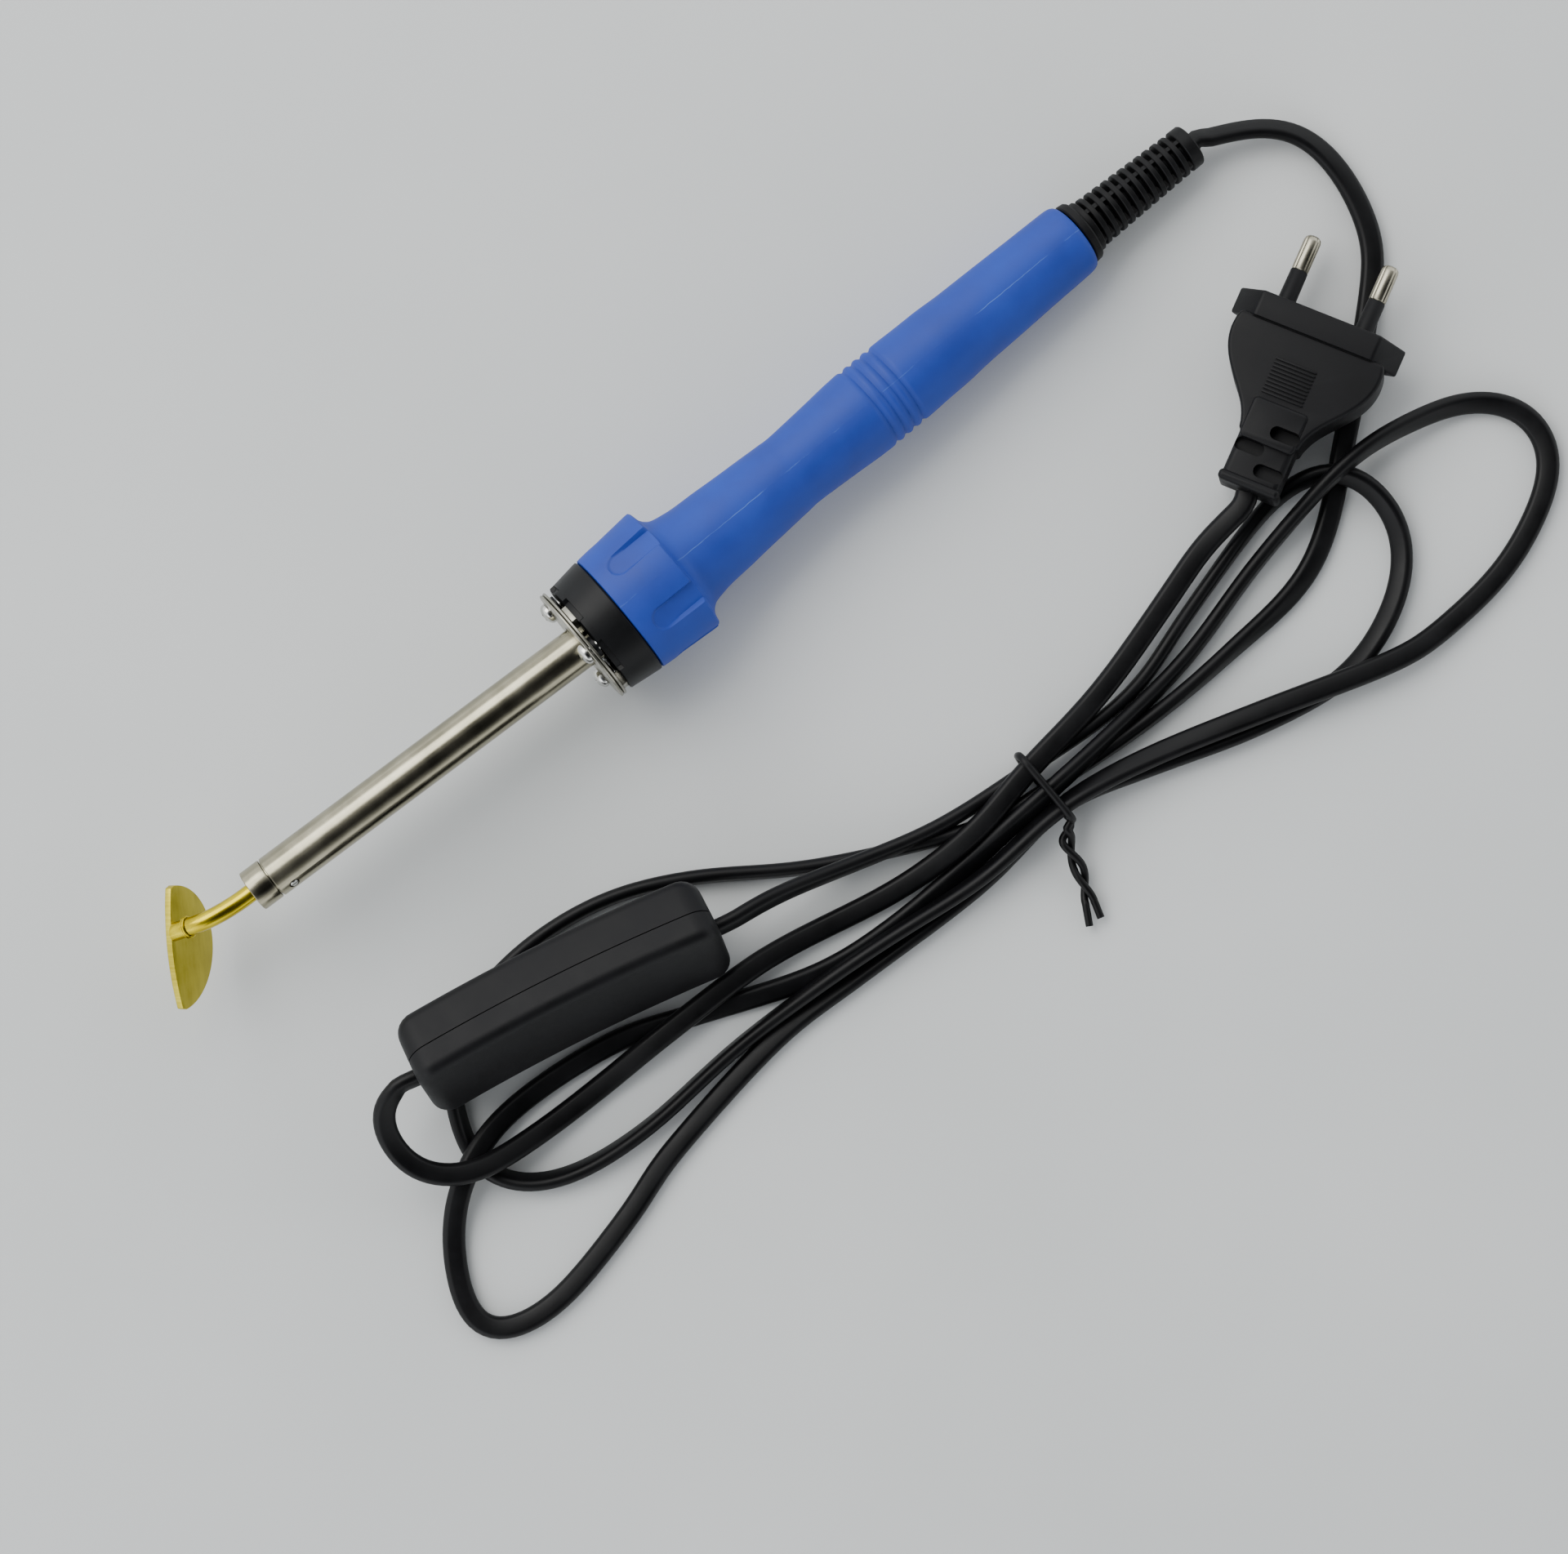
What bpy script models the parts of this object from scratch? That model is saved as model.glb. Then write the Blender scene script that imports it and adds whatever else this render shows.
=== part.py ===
"""Electric edge creaser for leather: heated brass blade, steel barrel, handle, in-line switch and plug.

Metres, +Z up. The tool lies on the plane z = 0 with its length along X, blade at -X and cord at +X.
The origin is on that plane, under the middle of the tool's box.
"""
import math

import bmesh
import bpy
from mathutils import Matrix, Vector

# ---------------------------------------------------------------- driving sizes
GAP = 0.0003                      # clearance between touching parts
FLANGE_AT = Vector((-0.0294, -0.0010, 0.01782))   # centre of the flange's front face
NOSE_UP = math.radians(3.62)      # the tool rests on its ring and on the handle's rear edge
BARREL_SKEW = math.radians(-3.0)  # the barrel is mounted slightly askew
BOOT_BEND = math.radians(-1.2)    # the soft boot leans to one side

PLATE_R = 0.0143
PLATE_T = 0.0006
PLATE_HOLE_R = 0.0053
SPACER_LEN = 0.0009
SCREW_R = 0.0014
SCREW_HEAD_R = 0.0024
SCREW_HEAD_LEN = 0.0019
SCREW_LEN = 0.0055
BOLT_CIRCLE_R = 0.0108
BOLT_ANGLES = (75.6, 195.6, 315.6)   # degrees about the tool's axis, from -Y towards +Z

COLLAR_X0 = 0.0027
COLLAR_LEN = 0.0083
COLLAR_R0 = 0.0142
COLLAR_R1 = 0.01505
SPIGOT_R = 0.0130
SPIGOT_LEN = 0.0060
HANDLE_X0 = COLLAR_X0 + COLLAR_LEN + GAP
HANDLE_X1 = 0.1440
RING_X1 = 0.0269
FLUTES = 6
FLUTE_W = 0.0057
FLUTE_FLOOR_R = 0.0151
FLUTE_X0 = 0.0148
GROOVE_X0 = 0.0837
GROOVE_PITCH = 0.0025
GROOVE_DEPTH = 0.0007
CAVITY_R = 0.0065
REAR_BORE_R = 0.0045
REAR_BORE_X0 = 0.1180

BOOT_LEN = 0.0333
BOOT_BORE_R = 0.0022
BOOT_RIBS = 11
BOOT_PITCH = 0.00233

BARREL_R = 0.00492
BARREL_BORE_R = 0.00445
BARREL_X0 = -0.0847               # seam behind the bush, on the barrel's axis
BARREL_X1 = 0.0085
BUSH_HEAD_LEN = 0.0050
BUSH_SPIGOT_R = 0.00412
BUSH_SPIGOT_LEN = 0.0100
BUSH_BORE_R = 0.00235
SET_SCREW_X = BARREL_X0 + 0.0034
SET_SCREW_R = 0.0009
SET_SCREW_TURN = math.radians(60.0)     # round the barrel, from its top
HEATER_X0 = -0.0720
HEATER_X1 = -0.0060

ROD_R = 0.00205
ROD_END = Vector((-0.10838, 0.00315, -0.00321))   # on the barrel's axes, at the blade
BLADE_CENTRE = Vector((-0.11154, 0.00055, -0.00497))         # of its half disc, on the same axes
BLADE_AHEAD = Vector((-0.72, 0.565, -0.40)).normalized()
BLADE_EDGE = Vector((-0.575, -0.807, -0.126)).normalized()
BLADE_R = 0.0140                  # half-moon outline
BLADE_CROWN = 0.0018              # bulge of its long edge
BLADE_T = 0.0016
ROD_LEAN = math.radians(15.0)     # the rod's end leans this much along the blade
ROD_STUB = 0.0038                 # straight end of the rod
ROD_PULL = 0.0050                 # reach of the bend's tangents
BRAZE_RING_AT = 0.0024            # along the rod from the blade
BRAZE_RING_LEN = 0.0009
BRAZE_RING_R = ROD_R + 0.0007

SWITCH_AT = Vector((-0.0818, -0.0583, 0.0175))
SWITCH_LONG = Vector((-0.969, 0.2353, 0.0767)).normalized()
SWITCH_FACE = Vector((0.2098, 0.875, -0.4352)).normalized()
SWITCH_LEN = 0.0735
SWITCH_W = 0.0255
SWITCH_H = 0.0160
SWITCH_SPLIT = -0.0013
SWITCH_WALL = 0.0017
ROCKER_AXIS_Z = 0.0052
ROCKER_R = 0.0112
ROCKER_W = 0.0102
ROCKER_TILT = math.radians(-11.0)

PLUG_AT = Vector((0.1420, -0.0525, 0.0098))
PLUG_AHEAD = Vector((0.897, 0.442, 0.0)).normalized()
PLUG_LEFT = Vector((-0.4336, 0.880, -0.194)).normalized()
PLUG_HEAD_LEN = 0.0056
PLUG_HEAD_W = 0.0400
PLUG_THICK = 0.0140
PLUG_BODY_LEN = 0.0242
RELIEF_LEN = 0.0122
PIN_PITCH = 0.0186
PIN_R = 0.0020
PIN_METAL = 0.0085
PIN_SLEEVE = 0.0084

CORD_R = 0.00170
TIE_WIRE_R = 0.00088
TIE_X = 0.030
TIE_LIFT = 0.0020                 # the tie passes under the bundle and lifts it

parts = bpy.data.collections.new("edge_creaser")
cutters = bpy.data.collections.new("edge_creaser_cutters")


# ---------------------------------------------------------------- helpers
def clear_scene():
    for obj in list(bpy.data.objects):
        bpy.data.objects.remove(obj, do_unlink=True)
    for collection in (parts, cutters):
        bpy.context.scene.collection.children.link(collection)


def material(name, colour, roughness, metallic=0.0):
    mat = bpy.data.materials.get(name)
    if mat is None:
        mat = bpy.data.materials.new(name)
        mat.use_nodes = True
        shader = mat.node_tree.nodes["Principled BSDF"]
        shader.inputs["Base Color"].default_value = (*colour, 1.0)
        shader.inputs["Roughness"].default_value = roughness
        shader.inputs["Metallic"].default_value = metallic
        mat.diffuse_color = (*colour, 1.0)
    return mat


BLACK = ("black_plastic", (0.012, 0.012, 0.014), 0.5)
RUBBER = ("black_rubber", (0.010, 0.010, 0.010), 0.65)
BLUE = ("blue_plastic", (0.055, 0.130, 0.460), 0.5)
STEEL = ("steel", (0.55, 0.54, 0.50), 0.28, 1.0)
BRASS = ("brass", (0.72, 0.55, 0.16), 0.25, 1.0)
COPPER = ("copper", (0.70, 0.38, 0.25), 0.3, 1.0)
CERAMIC = ("ceramic", (0.80, 0.78, 0.72), 0.6)
MICA = ("mica", (0.45, 0.38, 0.25), 0.5)


def empty(name, location, rotation=(0, 0, 0), parent=None):
    obj = bpy.data.objects.new(name, None)
    bpy.context.scene.collection.objects.link(obj)
    obj.location = location
    obj.rotation_euler = rotation
    obj.parent = parent
    return obj


def axes_matrix(origin, x_axis, y_axis):
    """A frame from its X axis and a direction close to its Y axis."""
    x_unit = x_axis.normalized()
    z_unit = x_unit.cross(y_axis).normalized()
    y_unit = z_unit.cross(x_unit)
    turn = Matrix((x_unit, y_unit, z_unit)).transposed().to_4x4()
    return Matrix.Translation(origin) @ turn


def place(obj, matrix_world):
    bpy.context.view_layer.update()
    obj.matrix_world = matrix_world


def add(name, data, look, parent=None, location=(0, 0, 0), rotation=(0, 0, 0), smooth=None):
    obj = bpy.data.objects.new(name, data)
    parts.objects.link(obj)
    obj.parent = parent
    obj.location = location
    obj.rotation_euler = rotation
    data.materials.append(material(*look))
    if smooth is not None:
        data.shade_smooth()
        data.set_sharp_from_angle(angle=math.radians(smooth))
    return obj


def cutter(obj):
    """Turn an object that was just made into a hidden cutter."""
    parts.objects.unlink(obj)
    cutters.objects.link(obj)
    obj.hide_render = True
    obj.display_type = "WIRE"
    return obj


def boolean(obj, tool, operation="DIFFERENCE"):
    mod = obj.modifiers.new(tool.name, "BOOLEAN")
    mod.operation = operation
    mod.object = tool
    mod.solver = "EXACT"
    return mod


def lathe(name, profile, look, parent=None, location=(0, 0, 0), steps=32, ring=False, turn=(0, math.pi / 2, 0)):
    """Turn (axial, radius) points, outer side listed from the high end down, about the parent's X axis."""
    mesh = bpy.data.meshes.new(name)
    points = [(radius, 0.0, axial) for axial, radius in profile]
    edges = [(i, i + 1) for i in range(len(points) - 1)]
    if ring:
        edges.append((len(points) - 1, 0))
    mesh.from_pydata(points, edges, [])
    obj = add(name, mesh, look, parent, location, turn)
    screw = obj.modifiers.new("turned", "SCREW")
    screw.axis = "Z"
    screw.steps = steps
    screw.render_steps = steps
    screw.use_merge_vertices = True
    screw.merge_threshold = 0.00001
    screw.use_smooth_shade = True
    return obj


def tube_profile(x0, x1, outer, inner):
    return [(x1, outer), (x0, outer), (x0, inner), (x1, inner)]


def solid_profile(x0, x1, radius):
    return [(x1, 0.0), (x1, radius), (x0, radius), (x0, 0.0)]


def block(name, size, look, parent=None, location=(0, 0, 0), rotation=(0, 0, 0), bevel=0.0, segments=2):
    bm = bmesh.new()
    bmesh.ops.create_cube(bm, size=1.0)
    bmesh.ops.scale(bm, vec=Vector(size), verts=bm.verts)
    mesh = bpy.data.meshes.new(name)
    bm.to_mesh(mesh)
    bm.free()
    obj = add(name, mesh, look, parent, location, rotation)
    if bevel:
        mod = obj.modifiers.new("rounded", "BEVEL")
        mod.width = bevel
        mod.segments = segments
    return obj


def wire(name, points, radius, look, parent=None, closed=False, resolution=2):
    curve = bpy.data.curves.new(name, "CURVE")
    curve.dimensions = "3D"
    curve.bevel_depth = radius
    curve.bevel_resolution = resolution
    curve.use_fill_caps = not closed
    spline = curve.splines.new("POLY")
    spline.points.add(len(points) - 1)
    for knot, point in zip(spline.points, points):
        knot.co = (*point, 1.0)
    spline.use_cyclic_u = closed
    return add(name, curve, look, parent)


def flat_outline(name, outline, thickness, look, parent=None, location=(0, 0, 0), rotation=(0, 0, 0)):
    curve = bpy.data.curves.new(name, "CURVE")
    curve.dimensions = "2D"
    curve.fill_mode = "BOTH"
    curve.extrude = thickness / 2
    spline = curve.splines.new("POLY")
    spline.points.add(len(outline) - 1)
    for knot, point in zip(spline.points, outline):
        knot.co = (point[0], point[1], 0.0, 1.0)
    spline.use_cyclic_u = True
    return add(name, curve, look, parent, location, rotation)


def as_mesh(obj):
    """Replace a curve object by its closed mesh, so that it can be cut."""
    bpy.context.view_layer.update()
    evaluated = obj.evaluated_get(bpy.context.evaluated_depsgraph_get())
    mesh = bpy.data.meshes.new_from_object(evaluated)
    bm = bmesh.new()
    bm.from_mesh(mesh)
    bmesh.ops.remove_doubles(bm, verts=bm.verts, dist=0.00001)
    bm.to_mesh(mesh)
    bm.free()
    name = obj.name
    matrix = obj.matrix_world.copy()
    bpy.data.objects.remove(obj, do_unlink=True)
    solid = bpy.data.objects.new(name, mesh)
    parts.objects.link(solid)
    solid.matrix_world = matrix
    return solid


def arc(centre, radius, start, end, count):
    """Points on an arc in a plane, angles in degrees."""
    steps = [math.radians(start + (end - start) * i / (count - 1)) for i in range(count)]
    return [(centre[0] + radius * math.cos(a), centre[1] + radius * math.sin(a)) for a in steps]


def smooth_curve(points, per_span):
    """Points on a Catmull-Rom curve through the given ones."""
    knots = [2 * points[0] - points[1], *points, 2 * points[-1] - points[-2]]
    curve = []
    for a, b, c, d in zip(knots, knots[1:], knots[2:], knots[3:]):
        for i in range(per_span):
            t = i / per_span
            term1 = (c - a) * t
            term2 = (2 * a - 5 * b + 4 * c - d) * t * t
            term3 = (3 * b - a - 3 * c + d) * t ** 3
            curve.append((2 * b + term1 + term2 + term3) / 2)
    curve.append(points[-1])
    return curve


def spaced(points, count, bend_weight=0.016):
    """Resample a fine curve, closer together where it bends."""
    reach = [0.0]
    for i in range(1, len(points)):
        step = (points[i] - points[i - 1]).length
        turn = 0.0
        if i + 1 < len(points) and step > 0:
            turn = (points[i] - points[i - 1]).angle(points[i + 1] - points[i], 0.0)
        reach.append(reach[-1] + step + bend_weight * turn)
    picked = []
    index = 0
    for k in range(count):
        target = reach[-1] * k / (count - 1)
        while index < len(reach) - 2 and reach[index + 1] < target:
            index += 1
        span = reach[index + 1] - reach[index]
        blend = (target - reach[index]) / span
        picked.append(points[index].lerp(points[index + 1], min(1.0, blend)))
    return picked


# ---------------------------------------------------------------- heated tip
def bezier(a, b, c, d, count):
    points = []
    for i in range(count):
        t = i / (count - 1)
        s = 1 - t
        points.append(a * s ** 3 + b * (3 * s * s * t) + c * (3 * s * t * t) + d * t ** 3)
    return points


def half_moon():
    """Outline of the blade: a half disc whose long edge is slightly crowned, corners eased."""
    ease = 7.0
    edge_r = (BLADE_R ** 2 + BLADE_CROWN ** 2) / (2 * BLADE_CROWN)
    edge_half = math.degrees(math.asin(BLADE_R / edge_r)) * 0.94
    round_side = arc((0, 0), BLADE_R, 180 + ease, 360 - ease, 25)
    long_side = arc((0, BLADE_CROWN - edge_r), edge_r, 90 - edge_half, 90 + edge_half, 9)
    return round_side + long_side


def make_tip(barrel):
    bpy.context.view_layer.update()
    to_local = barrel.matrix_world.to_3x3().inverted()
    ahead = (to_local @ BLADE_AHEAD).normalized()
    edge = (to_local @ BLADE_EDGE).normalized()
    along = (ahead * math.cos(ROD_LEAN) + edge * math.sin(ROD_LEAN)).normalized()
    front = BARREL_X0 - GAP - BUSH_HEAD_LEN
    mouth = Vector((front - 0.0015, 0, 0))
    path = [Vector((front + 0.0130, 0, 0)), Vector((front, 0, 0))]
    stub = ROD_END - along * ROD_STUB
    path += bezier(mouth, mouth + Vector((-ROD_PULL, 0, 0)), stub - along * ROD_PULL, stub, 8) + [ROD_END]
    wire("shank_rod", path, ROD_R, BRASS, barrel, resolution=3)

    blade = flat_outline("creasing_blade", half_moon(), BLADE_T, BRASS, barrel)
    place(blade, barrel.matrix_world @ axes_matrix(BLADE_CENTRE, edge, ahead.cross(edge)))

    ring_profile = tube_profile(0, BRAZE_RING_LEN, BRAZE_RING_R, ROD_R + GAP)
    ring = lathe("braze_ring", ring_profile, BRASS, barrel, steps=20, ring=True, turn=(0, 0, 0))
    across = along.cross(edge).normalized()
    ring_at = ROD_END - along * BRAZE_RING_AT
    place(ring, barrel.matrix_world @ axes_matrix(ring_at, across, (-along).cross(across)))


def make_bush(barrel):
    front = BARREL_X0 - GAP - BUSH_HEAD_LEN
    seam = BARREL_X0 - GAP
    inner_end = seam + BUSH_SPIGOT_LEN
    profile = [
        (inner_end, BUSH_BORE_R),
        (inner_end, BUSH_SPIGOT_R),
        (seam, BUSH_SPIGOT_R),
        (seam, BARREL_R),
        (front + 0.0005, BARREL_R),
        (front, BARREL_R - 0.0005),
        (front, BUSH_BORE_R),
    ]
    lathe("end_bush", profile, STEEL, barrel, steps=32, ring=True)

    pivot = empty("set_screw_axis", (SET_SCREW_X, 0, 0), (SET_SCREW_TURN, 0, 0), barrel)
    tip = BUSH_SPIGOT_R + GAP
    lathe("set_screw", solid_profile(tip, BARREL_R + 0.0001, SET_SCREW_R), BRASS, pivot, steps=16, turn=(0, 0, 0))
    return pivot


def make_barrel(barrel):
    tube = lathe("barrel_tube", tube_profile(BARREL_X0, BARREL_X1, BARREL_R, BARREL_BORE_R), STEEL, barrel,
                 steps=32, ring=True)
    drill = lathe("set_screw_hole", solid_profile(0.003, 0.007, SET_SCREW_R + GAP), STEEL,
                  bpy.data.objects["set_screw_axis"], steps=16, turn=(0, 0, 0))
    boolean(tube, cutter(drill))

    lathe("heater_core", solid_profile(HEATER_X0, HEATER_X1, 0.0029), CERAMIC, barrel, steps=20)
    lathe("heater_winding", tube_profile(HEATER_X0 + 0.004, HEATER_X1 - 0.004, 0.0036, 0.0032), STEEL, barrel,
          steps=20, ring=True)
    lathe("mica_sleeve", tube_profile(HEATER_X0, HEATER_X1 + 0.003, 0.0042, 0.0039), MICA, barrel, steps=24,
          ring=True)
    for tag, side in (("a", 1), ("b", -1)):
        start = Vector((HEATER_X1 + GAP + 0.0001, side * 0.0018, 0))
        end = Vector((0.0250, side * 0.0026, 0))
        wire("heater_lead_" + tag, [start, start.lerp(end, 0.5), end], 0.0005, COPPER, barrel)


# ---------------------------------------------------------------- flange
def bolt_place(angle):
    a = math.radians(angle)
    return (-BOLT_CIRCLE_R * math.cos(a), BOLT_CIRCLE_R * math.sin(a))


def bolt_holes(tool, radius, x0, x1):
    """One cutter with the three screw holes."""
    bm = bmesh.new()
    for angle in BOLT_ANGLES:
        y, z = bolt_place(angle)
        matrix = Matrix.Translation(((x0 + x1) / 2, y, z)) @ Matrix.Rotation(math.pi / 2, 4, "Y")
        bmesh.ops.create_cone(bm, cap_ends=True, segments=16, radius1=radius, radius2=radius, depth=x1 - x0,
                              matrix=matrix)
    mesh = bpy.data.meshes.new("screw_holes")
    bm.to_mesh(mesh)
    bm.free()
    return cutter(add("screw_holes", mesh, BLACK, tool))


def make_flange(tool):
    holes = bolt_holes(tool, SCREW_R + GAP, -0.002, COLLAR_X0 + 0.0045)
    front = lathe("flange_plate_front", tube_profile(0, PLATE_T, PLATE_R, PLATE_HOLE_R), STEEL, tool, steps=40,
                  ring=True)
    rear_x0 = PLATE_T + 0.0002
    rear_profile = tube_profile(rear_x0, rear_x0 + PLATE_T, PLATE_R, PLATE_HOLE_R)
    rear = lathe("flange_plate_rear", rear_profile, STEEL, tool,
                 steps=40, ring=True)
    boolean(front, holes)
    boolean(rear, holes)
    spacer_x0 = rear_x0 + PLATE_T + 0.0001
    for number, angle in enumerate(BOLT_ANGLES, 1):
        y, z = bolt_place(angle)
        head_x = -GAP / 3
        profile = [
            (SCREW_LEN, 0.0),
            (SCREW_LEN, SCREW_R),
            (head_x, SCREW_R),
            (head_x, SCREW_HEAD_R),
            (head_x - SCREW_HEAD_LEN * 0.55, SCREW_HEAD_R),
            (head_x - SCREW_HEAD_LEN, SCREW_HEAD_R * 0.6),
            (head_x - SCREW_HEAD_LEN, 0.0),
        ]
        screw = lathe(f"flange_screw_{number}", profile, STEEL, tool, (0, y, z), steps=20)
        slot = block(f"screw_slot_{number}", (0.0016, 0.0006, 0.0034), STEEL, tool,
                     (head_x - SCREW_HEAD_LEN, y, z), (math.radians(angle), 0, 0))
        boolean(screw, cutter(slot))
        lathe(f"spacer_washer_{number}", tube_profile(spacer_x0, spacer_x0 + SPACER_LEN, 0.0026, SCREW_R + GAP),
              BLACK, tool, (0, y, z), steps=16, ring=True)
    return holes


def make_collar(tool, holes):
    x0 = COLLAR_X0
    x1 = x0 + COLLAR_LEN
    profile = [
        (x1 + SPIGOT_LEN, SPIGOT_R - 0.0018),
        (x1 + SPIGOT_LEN, SPIGOT_R),
        (x1, SPIGOT_R),
        (x1, COLLAR_R1),
        (x0 + 0.0004, COLLAR_R0),
        (x0, COLLAR_R0 - 0.0004),
        (x0, 0.0064),
        (x0 + 0.0045, 0.0064),
        (x0 + 0.0045, SPIGOT_R - 0.0018),
    ]
    collar = lathe("collar", profile, BLACK, tool, steps=40, ring=True)
    boolean(collar, holes)


# ---------------------------------------------------------------- handle
def handle_outline():
    """Outer side of the handle, rear to front: (distance behind the flange, radius) in millimetres."""
    neck = [(143.2, 8.0), (140.0, 8.65), (131.3, 8.95), (122.5, 9.2), (110.9, 9.5), (103.0, 9.9), (95.0, 10.1)]
    front_neck = [(79.0, 10.1), (73.2, 9.7), (67.4, 9.35), (61.6, 9.05), (52.9, 9.55), (44.1, 10.0), (35.4, 10.6)]
    ring = [(32.0, 11.0), (29.6, 11.5), (28.0, 12.6), (27.3, 14.6), (26.9, 16.15), (26.3, 16.15), (11.9, 15.2)]
    outline = [(144.0, 7.2)] + neck
    for i in range(3, -1, -1):
        at = (GROOVE_X0 + i * GROOVE_PITCH) * 1000
        outline += [(at + 0.9, 10.25), (at, 10.25 - GROOVE_DEPTH * 1000), (at - 0.9, 10.25)]
    outline += front_neck + ring + [(HANDLE_X0 * 1000, 14.8)]
    return [(x / 1000, r / 1000) for x, r in outline]


def make_handle(tool):
    cavity = [
        (HANDLE_X0, SPIGOT_R + GAP),
        (HANDLE_X0 + 0.0085, SPIGOT_R + GAP),
        (HANDLE_X0 + 0.0105, CAVITY_R),
        (REAR_BORE_X0, CAVITY_R),
        (REAR_BORE_X0, REAR_BORE_R),
        (HANDLE_X1, REAR_BORE_R),
    ]
    handle = lathe("handle", handle_outline() + cavity, BLUE, tool, steps=40, ring=True)
    half = FLUTE_W / 2
    outline = arc((FLUTE_X0 + half, 0), half, 90, 270, 9) + [(RING_X1 + 0.001, -half), (RING_X1 + 0.001, half)]
    depth = 0.004
    for k in range(FLUTES):
        pivot = empty(f"flute_axis_{k + 1}", (0, 0, 0), (math.radians(30 + k * 360 / FLUTES), 0, 0), tool)
        flute = flat_outline(f"flute_{k + 1}", outline, depth, BLUE, pivot, (0, 0, FLUTE_FLOOR_R + depth / 2))
        boolean(handle, cutter(as_mesh(flute)))


def make_wiring(tool):
    """Inside the handle: the heater's leads meet the mains cord in a small terminal block."""
    length = 0.0180
    x0 = 0.0262
    terminal = block("terminal_block", (length, 0.0090, 0.0070), CERAMIC, tool, (x0 + length / 2, 0, 0),
                     bevel=0.0004)
    for tag, x in (("a", x0 + 0.0045), ("b", x0 + 0.0135)):
        drill = solid_profile(0.0005, 0.006, 0.0017)
        hole = lathe("terminal_hole_" + tag, drill, BRASS, tool, (x, 0, 0), steps=16,
                     turn=(0, 0, 0))
        boolean(terminal, cutter(hole))
        lathe("terminal_screw_" + tag, solid_profile(0.0008, 0.0036, 0.0014), BRASS, tool, (x, 0, 0), steps=16,
              turn=(0, 0, 0))
    start = Vector((x0 + length + GAP, 0, 0))
    bend = Vector((HANDLE_X1, 0, 0))
    end = bend + Vector((math.cos(BOOT_BEND), math.sin(BOOT_BEND), 0)) * (BOOT_LEN + GAP)
    wire("inner_cord", [start, start.lerp(bend, 0.5), bend, end], CORD_R, RUBBER, tool)
    lathe("cord_clamp", tube_profile(0.1200, 0.1250, 0.0041, CORD_R + GAP), STEEL, tool, steps=20, ring=True)


def make_boot(tool):
    pivot = empty("boot_axis", (HANDLE_X1 + GAP, 0, 0), (0, 0, BOOT_BEND), tool)
    tip = BOOT_LEN
    profile = [(tip, BOOT_BORE_R), (tip, 0.0050), (tip - 0.0003, 0.0052), (tip - 0.0030, 0.0052)]
    for k in range(BOOT_RIBS - 1, -1, -1):
        x = 0.0046 + k * BOOT_PITCH
        rib_r = 0.0060 - 0.0008 * k / (BOOT_RIBS - 1)
        profile += [(x + 0.0012, 0.0041), (x + 0.0012, rib_r), (x, rib_r), (x, 0.0041)]
    profile += [(0.0038, 0.0041), (0.0038, 0.00635), (0.0022, 0.00635), (0.0022, 0.0073), (0, 0.0076)]
    profile += [(0, BOOT_BORE_R)]
    lathe("boot", profile, RUBBER, pivot, steps=16, ring=True)
    return pivot


# ---------------------------------------------------------------- in-line switch
def switch_shell(name, switch, low, high):
    """One half of the housing, between two depths, open towards the other half."""
    shell = block(name, (SWITCH_LEN, SWITCH_W, SWITCH_H), BLACK, switch, bevel=0.0028, segments=3)
    keep = block(name + "_side", (SWITCH_LEN + 0.01, SWITCH_W + 0.01, high - low), BLACK, switch,
                 (0, 0, (low + high) / 2))
    boolean(shell, cutter(keep), "INTERSECT")
    return shell


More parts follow.
